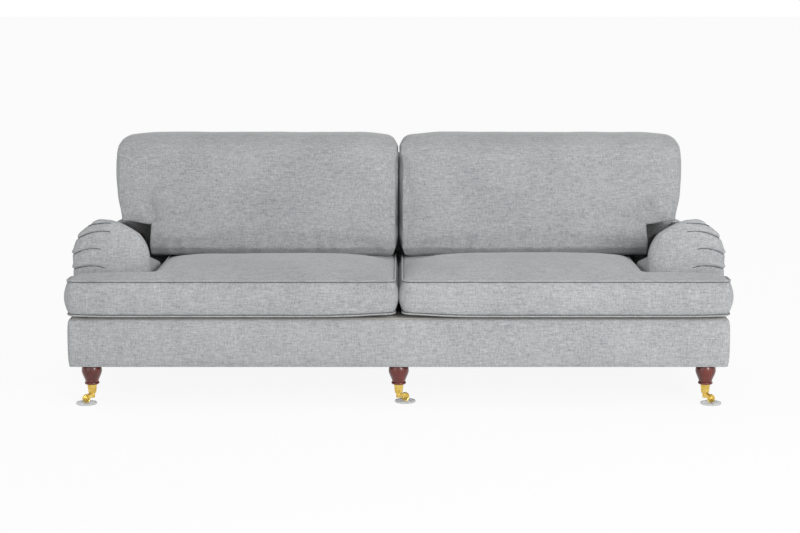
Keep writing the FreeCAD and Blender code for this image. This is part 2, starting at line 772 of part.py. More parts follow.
low, top = size("back_cushion_bottom"), size("back_cushion_top")
for name, side in sides:
    # height, how far the ends stand in there, and how much thinner the cushion is
    levels = [
        (low, 22, 36), (low + 10, 9, 8), (low + 35, 2, -16), (low + 75, 0, -18), (low + 150, 0, -6),
        (low + 280, 0, 0), (top - 75, 3, 8), (top - 35, 10, 34), (top - 12, 22, 72), (top, 40, 112)]
    sections = [back_section(side, *level) for level in levels]
    blank = soft(f"back_cushion_blank_{name}", Part.makeLoft(sections, True, True))
    notch = new_body(f"wing_notch_{name}")
    path = [
        ("wing_front - 80", "back_cushion_bottom - 20"),
        ("outer_back", "back_cushion_bottom - 20"),
        ("outer_back", "wing_bottom - arm_slope * (outer_back - wing_front)"),
        ("wing_front - 80", "wing_bottom + arm_slope * 80"),
    ]
    start = mirrored(side, "wing_inner", "back_cushion_half_width + 50")[0]
    pad(notch, outline(notch, "Notch", "YZ_Plane", path, start), "back_cushion_half_width + 50 - wing_inner")
    cut(f"back_cushion_{name}", blank, notch)

# Front legs: turned bulbs with a bead at the foot and a spigot that the castor sockets fit over
body = new_body("front_leg_turning")
leg_top = "cover_bottom"
path = [
    ("0", "leg_bottom - spigot_length"),
    ("spigot_radius", "leg_bottom - spigot_length"),
    ("spigot_radius", "leg_bottom"),
    ("leg_radius - 10", "leg_bottom"),
    ("leg_radius - 10", "leg_bottom + 8"),
    ("leg_radius - 13", "leg_bottom + 8"),
    ("via", "leg_radius - 4", "leg_bottom + 28"),
    ("leg_radius", "leg_bottom + 46"),
    ("via", "leg_radius - 0.7", "leg_bottom + 57"),
    ("leg_radius - 3.5", leg_top),
    ("0", leg_top),
]
leg = turn(body, outline(body, "Turning", "XZ_Plane", path))
place(body, "-leg_spacing", "-front_leg_front", "0")
repeat(body, [leg], "X_Axis", "2 * leg_spacing", 3)
keep(body, "front_legs")

# Rear legs: plain square legs, tapered and raked back
body = new_body("rear_leg_loft")
squares = []
for height, across, back in (("0", "rear_leg_foot", "rear_leg_rake"), ("cover_bottom", "rear_leg_top", "0")):
    half = f"{across} / 2"
    corners = [
        (f"-{half}", f"{back} - {half}"), (half, f"{back} - {half}"),
        (half, f"{back} + {half}"), (f"-{half}", f"{back} + {half}")]
    squares.append(outline(body, "Square", "XY_Plane", corners, height))
loft = body.newObject("PartDesign::AdditiveLoft", "Loft")
loft.Profile = squares[0]
loft.Sections = squares[1:]
loft.Ruled = True
place(body, "-leg_spacing", "rear_leg_back", "0")
repeat(body, [loft], "X_Axis", "2 * leg_spacing", 3)
keep(body, "rear_legs")

# Castor sockets: a tapered brass cup on each spigot, with the spindle that the horn turns on
body = new_body("castor_sockets")
socket_foot = "leg_bottom - socket_height"
boss_top = f"{socket_foot} - castor_play"
boss_foot = f"{boss_top} - boss_height"
path = [
    ("0", boss_foot),
    ("spindle_radius", boss_foot),
    ("spindle_radius", socket_foot),
    ("socket_foot_radius", socket_foot),
    ("socket_top_radius", "leg_bottom"),
    ("spigot_radius", "leg_bottom"),
    ("spigot_radius", "leg_bottom - spigot_length"),
    ("0", "leg_bottom - spigot_length"),
]
socket = turn(body, outline(body, "Turning", "XZ_Plane", path))
place(body, "-leg_spacing", "-front_leg_front", "0")
repeat(body, [socket], "X_Axis", "2 * leg_spacing", 3)
keep(body, "castor_sockets")


def castor_horn(body):
    # A boss on the spindle, an arm that curves down to two cheeks beside the wheel, and the axle between them.
    arm = [
        ("2", f"{boss_top} - 1.5"),
        ("via", "castor_trail - 6", f"{boss_top} - 4.5"),
        ("castor_trail + cheek_radius", "wheel_height"),
        ("via", "castor_trail", "wheel_height - cheek_radius"),
        ("castor_trail - cheek_radius", "wheel_height"),
        ("2", f"{boss_foot} + 3"),
    ]
    fork = "wheel_width + 1 + 2 * cheek_thickness"
    pad(body, outline(body, "Arm", "XZ_Plane", arm), fork, midplane=True)
    pad(body, circle(body, "Boss", "XY_Plane", "boss_radius", offset=boss_foot), "boss_height")
    slot_start = "boss_radius + 1"
    slot = [(slot_start, "0"), ("60", "0"), ("60", "socket_height + 60"), (slot_start, "socket_height + 60")]
    pocket(body, outline(body, "WheelSlot", "XZ_Plane", slot), "wheel_width + 1")
    pocket(body, circle(body, "SpindleBore", "XY_Plane", "spindle_radius + running_clearance", offset=boss_top), "60")
    axle = circle(body, "Axle", "XZ_Plane", "axle_radius", "castor_trail", "wheel_height")
    pad(body, axle, "wheel_width + 2", midplane=True)


def castor_wheel(body):
    # A plain brass wheel, bored for the axle.
    pad(body, circle(body, "Rim", "XZ_Plane", "wheel_radius"), "wheel_width", midplane=True)
    pocket(body, circle(body, "Bore", "XZ_Plane", "axle_radius + running_clearance"), "60")


def castor_cup(body):
    # A round clear cup with a shallow recess, on the floor under the wheel.
    pad(body, circle(body, "Disc", "XY_Plane", "cup_radius"), "cup_height")
    floor = "wheel_height - wheel_radius - castor_play"
    recess = circle(body, "Recess", "XY_Plane", "cup_recess_radius", offset="cup_height")
    pocket(body, recess, f"2 * (cup_height - ({floor}))")


for name, (side, heading) in castors.items():
    for label, make, trail, height in (
            ("castor_horn", castor_horn, "0", "0"),
            ("castor_wheel", castor_wheel, "castor_trail", "wheel_height"),
            ("castor_cup", castor_cup, "castor_trail", "0")):
        body = new_body(f"{label}_{name}")
        make(body)
        body.Placement.Rotation = Rotation(Vector(0, 0, 1), heading)
        place(body, f"{side} * leg_spacing + {trail} * cos({heading})",
              f"-front_leg_front + {trail} * sin({heading})", height)
        keep(body, f"{label}_{name}")

# Every object has to be sound before anything is written
doc.recompute()
for item in doc.Objects:
    if {"Invalid", "Error"} & set(item.State):
        raise RuntimeError(f"{item.Label}: {item.State}")
for part in parts:
    if part.Shape.isNull() or not part.Shape.isValid() or part.Shape.Volume <= 0:
        raise RuntimeError(f"{part.Label}: bad shape")
for part in parts:
    part.Shape.exportStep(f"parts/{part.Label}.step")
print(len(parts), "sub-parts written")
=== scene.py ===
import bpy
import json
import math
import numpy as np
from mathutils import Matrix, Vector, noise


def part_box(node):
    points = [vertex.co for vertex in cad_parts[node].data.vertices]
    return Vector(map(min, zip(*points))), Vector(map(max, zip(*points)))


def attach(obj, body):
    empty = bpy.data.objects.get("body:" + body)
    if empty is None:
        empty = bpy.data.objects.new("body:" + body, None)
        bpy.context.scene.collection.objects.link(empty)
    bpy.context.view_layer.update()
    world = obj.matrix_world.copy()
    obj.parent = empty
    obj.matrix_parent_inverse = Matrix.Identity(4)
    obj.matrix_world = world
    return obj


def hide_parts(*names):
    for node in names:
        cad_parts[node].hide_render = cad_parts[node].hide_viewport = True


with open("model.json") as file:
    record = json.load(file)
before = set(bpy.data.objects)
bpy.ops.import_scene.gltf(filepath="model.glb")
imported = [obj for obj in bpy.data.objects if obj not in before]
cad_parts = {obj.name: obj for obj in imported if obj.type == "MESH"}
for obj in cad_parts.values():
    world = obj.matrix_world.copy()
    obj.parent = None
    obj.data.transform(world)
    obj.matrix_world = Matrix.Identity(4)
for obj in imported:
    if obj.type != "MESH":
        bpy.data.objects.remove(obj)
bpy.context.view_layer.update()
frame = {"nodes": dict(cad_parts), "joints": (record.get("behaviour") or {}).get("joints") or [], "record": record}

weldDistance = 0.00005         # points nearer than this become one
nodes = frame["nodes"]
sides = (("Left", -1), ("Right", 1))
print("frame loaded,", len(nodes), "nodes")


def clearSelection():
    if bpy.context.object and bpy.context.object.mode != "OBJECT":
        bpy.ops.object.mode_set(mode="OBJECT")
    bpy.ops.object.select_all(action="DESELECT")


def makeActive(piece):
    clearSelection()
    piece.select_set(True)
    bpy.context.view_layer.objects.active = piece


def applyModifiers(piece):
    makeActive(piece)
    for name in [modifier.name for modifier in piece.modifiers]:
        bpy.ops.object.modifier_apply(modifier=name)


def smooth(piece, angle=35):
    makeActive(piece)
    bpy.ops.object.shade_smooth_by_angle(angle=math.radians(angle))


def points(piece):
    data = np.empty(len(piece.data.vertices) * 3)
    piece.data.vertices.foreach_get("co", data)
    return data.reshape(-1, 3)


def movePoints(piece, places):
    piece.data.vertices.foreach_set("co", np.asarray(places, float).ravel())
    piece.data.update()


def normals(piece):
    data = np.empty(len(piece.data.vertices) * 3)
    piece.data.vertices.foreach_get("normal", data)
    return data.reshape(-1, 3)


def ripple(places, size, seed):
    # slow uneven waves, the same on every run
    return np.array([noise.noise(Vector(p) / size + Vector((seed, 0, 0))) for p in places])


def ease(value, low, high):
    # 0 below low, 1 above high, and a soft step between
    t = np.clip((np.asarray(value, float) - low) / (high - low), 0, 1)
    return t * t * (3 - 2 * t)


def skin(name, rings):
    # a circle primitive set to the first ring, then one extrusion for each further ring
    clearSelection()
    bpy.ops.mesh.primitive_circle_add(vertices=len(rings[0]), radius=1, fill_type="NGON")
    piece = bpy.context.object
    piece.name = piece.data.name = name
    bpy.ops.object.mode_set(mode="EDIT")
    bpy.ops.mesh.select_all(action="SELECT")
    for _ in rings[1:]:
        bpy.ops.mesh.extrude_region_move(TRANSFORM_OT_translate={"value": (0, 0, 0.01)})
    bpy.ops.object.mode_set(mode="OBJECT")
    movePoints(piece, np.concatenate([np.asarray(ring, float) for ring in rings]))
    tidyShell(piece)
    return piece


def tidyShell(piece):
    # welds doubled points and turns every face outward
    makeActive(piece)
    bpy.ops.object.mode_set(mode="EDIT")
    bpy.ops.mesh.select_all(action="SELECT")
    bpy.ops.mesh.remove_doubles(threshold=weldDistance)
    bpy.ops.mesh.normals_make_consistent(inside=False)
    bpy.ops.object.mode_set(mode="OBJECT")


def arcPoints(start, via, end, count):
    # points on the circle through three places, the last one left out
    (ax, ay), (bx, by), (cx, cy) = start, via, end
    d = 2 * (ax * (by - cy) + bx * (cy - ay) + cx * (ay - by))
    a, b, c = ax**2 + ay**2, bx**2 + by**2, cx**2 + cy**2
    ux = (a * (by - cy) + b * (cy - ay) + c * (ay - by)) / d
    uy = (a * (cx - bx) + b * (ax - cx) + c * (bx - ax)) / d
    first = math.atan2(ay - uy, ax - ux)
    turns = []
    for x, y in ((bx, by), (cx, cy)):
        turns.append(math.atan2(y - uy, x - ux) - first)
    middle, last = [turn % (2 * math.pi) for turn in turns]
    if middle > last:
        last -= 2 * math.pi
    radius = math.hypot(ax - ux, ay - uy)
    steps = [first + last * k / count for k in range(count)]
    return [(ux + radius * math.cos(t), uy + radius * math.sin(t)) for t in steps]


def linePoints(start, end, count):
    # evenly spaced points on a straight line, the last one left out
    (ax, ay), (bx, by) = start, end
    return [(ax + (bx - ax) * k / count, ay + (by - ay) * k / count) for k in range(count)]


def fitCurve(start, middle, end):
    # the parabola through three places
    return np.polyfit([end[0], middle[0], start[0]], [end[1], middle[1], start[1]], 2)


def cordAlong(name, path, radius, closed=True):
    # a round cord on a path, as piping is
    clearSelection()
    curve = bpy.data.curves.new(name, "CURVE")
    curve.dimensions = "3D"
    curve.bevel_depth = radius
    curve.bevel_resolution = 3
    spline = curve.splines.new("POLY")
    spline.points.add(len(path) - 1)
    for point, place in zip(spline.points, path):
        point.co = (*place, 1)
    spline.use_cyclic_u = closed
    piece = bpy.data.objects.new(name, curve)
    bpy.context.scene.collection.objects.link(piece)
    makeActive(piece)
    bpy.ops.object.convert(target="MESH")
    piece = bpy.context.object
    tidyShell(piece)
    smooth(piece, 60)
    return piece


def joinPieces(name, members):
    clearSelection()
    for member in members:
        member.select_set(True)
    bpy.context.view_layer.objects.active = members[0]
    bpy.ops.object.join()
    piece = bpy.context.object
    piece.name = piece.data.name = name
    return piece


def mirrorPiece(piece, name):
    # the other side's twin, with its own mesh and its faces turned the right way again
    clearSelection()
    twin = piece.copy()
    twin.data = piece.data.copy()
    twin.name = twin.data.name = name
    bpy.context.scene.collection.objects.link(twin)
    places = points(twin)
    places[:, 0] *= -1
    movePoints(twin, places)
    makeActive(twin)
    bpy.ops.object.mode_set(mode="EDIT")
    bpy.ops.mesh.select_all(action="SELECT")
    bpy.ops.mesh.flip_normals()
    bpy.ops.object.mode_set(mode="OBJECT")
    return twin


def copyNode(node, name):
    # a welded copy of a CAD node to work on
    clearSelection()
    piece = bpy.data.objects.new(name, nodes[node].data.copy())
    piece.data.materials.clear()
    bpy.context.scene.collection.objects.link(piece)
    tidyShell(piece)
    return piece


class Wire:
    # a shader socket that can stand in a sum
    def __init__(self, tree, socket):
        self.tree = tree
        self.socket = socket

    def combine(self, operation, first, second=None):
        maths = self.tree.nodes.new("ShaderNodeMath")
        maths.operation = operation
        for slot, value in enumerate((first, second)):
            if isinstance(value, Wire):
                self.tree.links.new(value.socket, maths.inputs[slot])
            elif value is not None:
                maths.inputs[slot].default_value = value
        return Wire(self.tree, maths.outputs[0])

    def __add__(self, other):
        return self.combine("ADD", self, other)

    __radd__ = __add__

    def __mul__(self, other):
        return self.combine("MULTIPLY", self, other)

    def __sub__(self, other):
        return self.combine("SUBTRACT", self, other)

    def __rsub__(self, other):
        return self.combine("SUBTRACT", other, self)

    def sine(self):
        return self.combine("SINE", self)


class Finish:
    # a material under construction; colours are written as they look on screen
    def __init__(self, name, **settings):
        self.material = bpy.data.materials.new(name)
        self.material.use_nodes = True
        self.tree = self.material.node_tree
        self.shader = self.tree.nodes["Principled BSDF"]
        for socket, value in settings.items():
            self.shader.inputs[socket.replace("_", " ")].default_value = value

    def feed(self, socket, value):
        if isinstance(value, Wire):
            self.tree.links.new(value.socket, socket)
        else:
            socket.default_value = value

    def node(self, kind, settings=None, sockets=None, output=0):
        made = self.tree.nodes.new(kind)
        for name, value in (settings or {}).items():
            if name == "stops":
                fillRamp(made.color_ramp, value)
            else:
                setattr(made, name, value)
        for name, value in (sockets or {}).items():
            self.feed(made.inputs[name], value)
        return Wire(self.tree, made.outputs[output])

    def place(self):
        return self.node("ShaderNodeTexCoord", output=3)

    def axes(self, place):
        apart = self.tree.nodes.new("ShaderNodeSeparateXYZ")
        self.feed(apart.inputs[0], place)
        return [Wire(self.tree, socket) for socket in apart.outputs]

    def stretch(self, place, scale):
        return self.node("ShaderNodeMapping", sockets={"Vector": place, "Scale": scale})

    def cloud(self, place, scale, detail=2.0, roughness=0.5):
        return self.node("ShaderNodeTexNoise", sockets={
            "Vector": place, "Scale": scale, "Detail": detail, "Roughness": roughness})

    def blend(self, share, first, second):
        made = self.tree.nodes.new("ShaderNodeMix")
        made.data_type = "RGBA"
        for slot, value in ((0, share), (6, first), (7, second)):
            self.feed(made.inputs[slot], value if isinstance(value, Wire) else (*value, 1.0))
        return Wire(self.tree, made.outputs[2])

    def ramp(self, value, stops):
        return self.node("ShaderNodeValToRGB", {"stops": stops}, {"Fac": value})

    def bump(self, height, strength, depth):
        made = self.node("ShaderNodeBump", sockets={
            "Height": height, "Strength": strength, "Distance": depth})
        self.feed(self.shader.inputs["Normal"], made)

    def paint(self, colour):
        self.feed(self.shader.inputs["Base Color"], colour)


def linear(*seen):
    # a colour as seen on screen, turned into the light values that the shader takes
    return tuple(((c + 0.055) / 1.055) ** 2.4 if c > 0.04045 else c / 12.92 for c in seen)


def fillRamp(ramp, stops):
    while len(ramp.elements) < len(stops):
        ramp.elements.new(0.5)
    for element, (position, colour) in zip(ramp.elements, stops):
        element.position = position
        element.color = (*colour, 1.0)


rampLow, rampHigh = (0.0, 0.0, 0.0), (1.0, 1.0, 1.0)
cloth = {
    "light": linear(0.765, 0.772, 0.777),
    "dark": linear(0.55, 0.557, 0.565),
    "yarn": 0.0017,             # pitch of the weave
    "fleck": 270.0,             # flecks per metre
    "bumpDepth": 0.0004,
}


def weaveFinish(name, light, dark, yarn, fleck):
    # plain weave in mixed yarns, soft and matt
    finish = Finish(name, Roughness=0.92, Sheen_Weight=0.25, Sheen_Roughness=0.5, Specular_IOR_Level=0.2)
    place = finish.place()
    x, y, z = finish.axes(place)
    turn = 2 * math.pi / yarn
    over = (x * turn).sine() * (z * turn).sine()
    over = over + (y * turn).sine() * ((x + z) * (turn * 0.5)).sine()
    fine = finish.cloud(place, fleck, 3.0, 0.6)
    slub = finish.cloud(finish.stretch(place, (0.16, 1.0, 1.0)), fleck * 0.8, 2.0, 0.5)
    upright = finish.cloud(finish.stretch(place, (1.0, 1.0, 0.2)), fleck * 0.8, 2.0, 0.5)
    broad = finish.cloud(place, 5.0, 2.0, 0.5)
    mixed = fine * 0.5 + slub * 0.28 + upright * 0.22 + (broad - 0.5) * 0.12 + over * 0.02
    share = finish.ramp(mixed, [(0.36, rampLow), (0.64, rampHigh)])
    finish.paint(finish.blend(share, dark, light))
    finish.bump(over * 0.5 + fine * 1.2 + slub * 0.6, 0.35, cloth["bumpDepth"])
    return finish.material


def woodFinish(name, deep, bright, along, roughness, coat):
    # grain runs along one axis; the coat is the polish
    finish = Finish(name, Coat_Weight=coat, Coat_Roughness=0.12, Specular_IOR_Level=0.4)
    place = finish.place()
    scale = [1.0, 1.0, 1.0]
    scale["xyz".index(along)] = 0.08
    grain = finish.cloud(finish.stretch(place, tuple(scale)), 220.0, 4.0, 0.6)
    bands = finish.cloud(finish.stretch(place, tuple(scale)), 38.0, 2.0, 0.5)
    share = finish.ramp(grain * 0.5 + bands * 0.5, [(0.36, rampLow), (0.66, rampHigh)])
    finish.paint(finish.blend(share, deep, bright))
    finish.feed(finish.shader.inputs["Roughness"], roughness + grain * 0.1)
    finish.bump(grain, 0.15, 0.0003)
    return finish.material


def brassFinish():
    finish = Finish("polishedBrass", Metallic=1.0)
    place = finish.place()
    stain = finish.cloud(place, 90.0, 3.0, 0.6)
    scratch = finish.cloud(finish.stretch(place, (1.0, 1.0, 0.12)), 900.0, 2.0, 0.5)
    share = finish.ramp(stain, [(0.35, rampLow), (0.7, rampHigh)])
    finish.paint(finish.blend(share, linear(0.80, 0.66, 0.30), linear(0.93, 0.82, 0.47)))
    finish.feed(finish.shader.inputs["Roughness"], 0.2 + stain * 0.12 + scratch * 0.06)
    finish.bump(scratch, 0.05, 0.0001)
    return finish.material


def cupFinish():
    finish = Finish("clearCup", Transmission_Weight=0.55, IOR=1.45, Specular_IOR_Level=0.5)
    place = finish.place()
    haze = finish.cloud(place, 140.0, 3.0, 0.6)
    finish.paint(finish.blend(haze, linear(0.7, 0.71, 0.72), linear(0.82, 0.83, 0.84)))
    finish.feed(finish.shader.inputs["Roughness"], 0.22 + haze * 0.15)
    finish.bump(haze, 0.05, 0.0002)
    return finish.material


def steelFinish():
    finish = Finish("zincPlate", Metallic=1.0)
    flake = finish.node("ShaderNodeTexVoronoi", sockets={"Vector": finish.place(), "Scale": 160.0})
    finish.paint(finish.blend(flake, linear(0.66, 0.67, 0.69), linear(0.78, 0.79, 0.8)))
    finish.feed(finish.shader.inputs["Roughness"], 0.32 + flake * 0.2)
    return finish.material


finishes = {
    "linen_cloth": weaveFinish("greyWeave", cloth["light"], cloth["dark"], cloth["yarn"], cloth["fleck"]),
    "beech": woodFinish(
        "planedBeech", linear(0.66, 0.5, 0.34), linear(0.83, 0.69, 0.5), along="x", roughness=0.55, coat=0.0),
    "mahogany": woodFinish(
        "redMahogany", linear(0.25, 0.07, 0.05), linear(0.47, 0.17, 0.13),
        along="z", roughness=0.3, coat=0.45),
    "castor_brass": brassFinish(),
    "clear_plastic": cupFinish(),
    "jute_webbing": weaveFinish(
        "juteWebbing", linear(0.72, 0.6, 0.42), linear(0.5, 0.38, 0.24), yarn=0.003, fleck=200.0),
    "deck_felt": weaveFinish(
        "deckCloth", linear(0.86, 0.85, 0.82), linear(0.72, 0.71, 0.68), yarn=0.002, fleck=260.0),
    "black_cloth": weaveFinish(
        "blackDustCloth", linear(0.14, 0.14, 0.14), linear(0.06, 0.06, 0.06), yarn=0.0012, fleck=300.0),
    "steel_plate": steelFinish(),
    # painted shade: this darker grey weave colours the cords laid in creases where shade falls
    "seam": weaveFinish(
        "paintedCreaseShade", linear(0.34, 0.345, 0.35), linear(0.22, 0.225, 0.23), yarn=0.0009, fleck=500.0),
}
slotOf = {row["node"]: row["material_slot"] for row in frame["record"]["subparts"]}
for name, node in nodes.items():
    node.data.materials.clear()
    node.data.materials.append(finishes[slotOf[name]])
print("materials made")


def dressShadeCord(piece, body):
    # painted shade: dark cords in a darker weave, laid in the creases beside the piping and at the bottom of the
    # pleats, stand for the shade there; stitches count as cloth, but show as dark thread
    piece.data.materials.clear()
    piece.data.materials.append(finishes["seam"])
    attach(piece, body)


def dress(piece, slot, body, *replaced):
    # gives a piece its look and the body that it moves with, and hides the CAD nodes that it stands for
    piece.data.materials.clear()
    piece.data.materials.append(finishes[slot])
    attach(piece, body)
    if replaced:
        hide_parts(*replaced)
    return piece


# seat cushions: boxed, piped, crowned, with an ear ahead of each arm

seat = {
    "innerSeam": 0.015,         # from the centre plane to the seams
    "outerSeam": 1.144,
    "frontSeam": -0.477,
    "earSeam": -0.3585,         # back of the ear ahead of the arm
    "notchSeam": 0.861,         # the seam beside the arm
    "backSeam": 0.303,
    "low": 0.3165,
    "high": 0.440,
    "radii": [0.03, 0.03, 0.022, 0.012, 0.03, 0.03],   # from the inner front corner outward and round
    "spacing": 0.008,           # between points along a seam
    "bulge": 0.013,
    "sideBulge": 0.016,
    "crown": 0.042,             # rise of the top halfway along the cushion
    "crownEdge": 0.02,          # how soon the crown starts inside the seam
    "endCrown": 0.008,
    "endLength": 0.07,
    "edgeRise": 0.007,          # the top puffs up just inside its seam
    "edgeWidth": 0.03,
    "fall": 0.022,              # how far the top drops to where the back cushion rests
    "rest": 0.100,
    "restBlend": 0.08,
    "belly": 0.005,
    "liftWidth": 0.06,
    "lifts": {"innerSeam": (0.009, 0.13), "outerSeam": (0.003, 0.07)},  # of the lower seam at its ends
    "leastLift": 0.001,
    "pipe": 0.0031,
    "pipeOut": 0.0022,
    "pipeLift": 0.0005,
    "seamDrop": 0.0036,
    "seamOut": 1.3,             # times as far out as the cord
    # radius of the dark cord of painted shade in the crease beside each piping cord
    "shadeCordRadius": 0.0012,
    "pinBand": 0.009,           # points this near a seam stay put while the cover fills
    "pinHeight": 0.06,
    "grid": 0.011,
    "puff": 0.007,              # most that the stuffing may move the cloth
    "pressure": 3.0,
}


def roundedOutline(corners, radii, spacing):
    # straight runs with rounded corners, as evenly spaced points
    path = []
    count = len(corners)
    for k in range(count):
        before, corner, after = (Vector(corners[(k + j) % count]) for j in (-1, 0, 1))
        inward, outward = (before - corner).normalized(), (after - corner).normalized()
        radius = radii[k]
        start, end = corner + inward * radius, corner + outward * radius
        bulge = corner + (inward + outward).normalized() * radius * (math.sqrt(2) - 1)
        steps = max(4, int(radius * 1.6 / spacing))
        path += arcPoints(start, bulge, end, steps)
        following = Vector(corners[(k + 1) % count])
        run = following + (corner - following).normalized() * radii[(k + 1) % count]
        path += linePoints(end, run, max(1, int((run - end).length / spacing)))
    return np.array(path)


def edgeDistance(places, outline, side):
    # how far inside the outline each place is, less than zero outside, and the way out at the nearest edge
    starts, ends = outline, np.roll(outline, -1, axis=0)
    runs = ends - starts
    lengths = (runs**2).sum(1)
    ways = np.column_stack([runs[:, 1], -runs[:, 0]]) * side / np.sqrt(lengths)[:, None]
    ways = (np.roll(ways, 1, axis=0) + ways + np.roll(ways, -1, axis=0)) / 3
    best = np.full(len(places), 1e9)
    way = np.zeros((len(places), 2))
    inside = np.zeros(len(places), bool)
    for start, run, length, outward in zip(starts, runs, lengths, ways):
        offset = places - start
        t = np.clip((offset @ run) / length, 0, 1)
        gap = offset - t[:, None] * run
        distance = np.hypot(gap[:, 0], gap[:, 1])
        near = distance < best
        best[near] = distance[near]
        way[near] = outward
        crosses = (start[1] > places[:, 1]) != (start[1] + run[1] > places[:, 1])
        with np.errstate(divide="ignore", invalid="ignore"):
            reach = start[0] + (places[:, 1] - start[1]) * run[0] / run[1]
        inside ^= crosses & (places[:, 0] < reach)
    return np.where(inside, best, -best), way


def seamFall(y, dims):
    # the upper seam drops towards the back of the cushion
    return dims["fall"] * np.clip((y - dims["frontSeam"]) / (dims["rest"] - dims["frontSeam"]), 0, 1)


def seamRise(x, dims):
    # the lower seam lifts a little at the ends of the cushion, most at the middle of the sofa
    total = 0.0
    for seam, (lift, width) in dims["lifts"].items():
        total = total + lift * np.exp(-((np.abs(np.abs(x) - dims[seam]) / width) ** 2))
    return total + dims["leastLift"]


def seatCushion(name, side, dims):
    # the T-shaped cover with its crown and bulging sides, and its seams as a pin group
    corners = [(side * dims[across], dims[deep]) for across, deep in (
        ("innerSeam", "frontSeam"), ("outerSeam", "frontSeam"), ("outerSeam", "earSeam"),
        ("notchSeam", "earSeam"), ("notchSeam", "backSeam"), ("innerSeam", "backSeam"))]
    outline = roundedOutline(corners, dims["radii"], dims["spacing"])
    highs = dims["high"] - seamFall(outline[:, 1], dims)
    rings = [np.column_stack([outline, z]) for z in (np.full(len(outline), dims["low"]), highs)]
    piece = skin(name, rings)
    piece.data.remesh_voxel_size = dims["grid"]
    bpy.ops.object.voxel_remesh()
    places = points(piece)
    inside, way = edgeDistance(places[:, :2], outline, side)
    upper = dims["high"] - seamFall(places[:, 1], dims)
    height = np.clip((places[:, 2] - dims["low"]) / (upper - dims["low"]), 0, 1)
    # pins hold the two seams while the cloth is blown out between them
    atEdge = np.abs(inside) < dims["pinBand"]
    seams = atEdge & ((height < dims["pinHeight"]) | (height > 1 - dims["pinHeight"]))
    length = dims["outerSeam"] - dims["innerSeam"]
    along = (np.abs(places[:, 0]) - dims["innerSeam"]) / length
    deep = np.clip((places[:, 1] - dims["frontSeam"]) / (dims["rest"] - dims["frontSeam"]), 0, 1)
    depth = np.maximum(inside, 0)
    fromEnd = np.maximum(np.minimum(along, 1 - along) * length, 0)
    more = dims["crown"] - dims["endCrown"]
    crown = dims["endCrown"] + more * (1 - np.exp(-fromEnd / dims["endLength"]))
    crown *= 1 - np.exp(-depth / dims["crownEdge"])
    ahead = 1 - ease(places[:, 1], dims["rest"] - dims["restBlend"], dims["rest"])
    offSeam = 1 - np.exp(-depth / dims["edgeWidth"])
    rise = crown * 4 * deep * (1 - deep) + dims["edgeRise"] * offSeam * ahead
    top = ease(height, 0.9, 1.0)
    bottom = ease(1 - height, 0.9, 1.0)
    onSide = (1 - ease(inside, 0.004, 0.012)) * np.sin(math.pi * height)
    isEnd = np.abs(way[:, 0]) > 0.7
    swell = np.where(isEnd, dims["sideBulge"], dims["bulge"]) * onSide
    places[:, :2] += way * swell[:, None]
    places[:, 2] += rise * top - dims["belly"] * offSeam * bottom
    nearSeam = 1 - ease(inside, 0.0, dims["liftWidth"])
    places[:, 2] += seamRise(places[:, 0], dims) * (1 - height) * nearSeam
    movePoints(piece, places)
    group = piece.vertex_groups.new(name="seams")
    group.add([int(k) for k in np.flatnonzero(seams)], 1.0, "REPLACE")
    return piece, outline


def seatPiping(name, side, outline, dims):
    # the cords along both seams, and beside each a dark cord of painted shade for the shade in its crease
    along = np.roll(outline, -1, axis=0) - np.roll(outline, 1, axis=0)
    along /= np.linalg.norm(along, axis=1)[:, None]
    out = np.column_stack([along[:, 1], -along[:, 0]]) * side * dims["pipeOut"]
    cords, shadeCords = [], []
    levels = (
        ("Top", 1, dims["high"] - seamFall(outline[:, 1], dims)),
        ("Bottom", -1, dims["low"] + seamRise(outline[:, 0], dims)))
    for label, way, level in levels:
        z = level + way * dims["pipeLift"]
        cords.append(cordAlong(name + label, np.column_stack([outline + out, z]), dims["pipe"]))
        # the dark cord of painted shade sits in the crease on the boxing side of the cord, where shade falls
        crease = np.column_stack([outline + out * dims["seamOut"], z - way * dims["seamDrop"]])
        shadeCords.append(cordAlong(name + label + "Seam", crease, dims["shadeCordRadius"]))
    return joinPieces(name, cords), joinPieces(name.replace("Piping", "Seam"), shadeCords)


# back cushions: crowned and leaning, with a wing over each arm

back = {
    "grid": 0.011,
    "shrink": 0.0022,           # room left for the filling to swell into
    "puff": 0.010,
    "pressure": 3.0,
    "joint": 0.0022,            # half of the gap between the two cushions
    "armReach": 0.926,
    "armLevel": 0.55,
    "middle": 0.527,
    "halfLength": 0.52,
    "foot": 0.42,
    "lean": 0.1048,
    "frontSide": 0.2,           # ahead of this, at the foot, is the front of the cushion
    "wingBottom": 0.561,        # where the wing meets the arm, at the wing's front
    "wingFront": 0.12,
    "wingInner": 0.88,
    "armSlope": 0.155,
    "armFill": 0.024,
    "wingHang": 0.026,
    "shoulder": 0.015,
    "shoulderLevel": (0.78, 0.88),
    "sink": 0.010,
    "dip": 0.012,
    "wide": 0.013,
    "pull": 0.014,
    "pullPlace": (0.925, 0.605),
    "pullSize": (0.022, 0.035),
    "pucker": 0.0028,
}


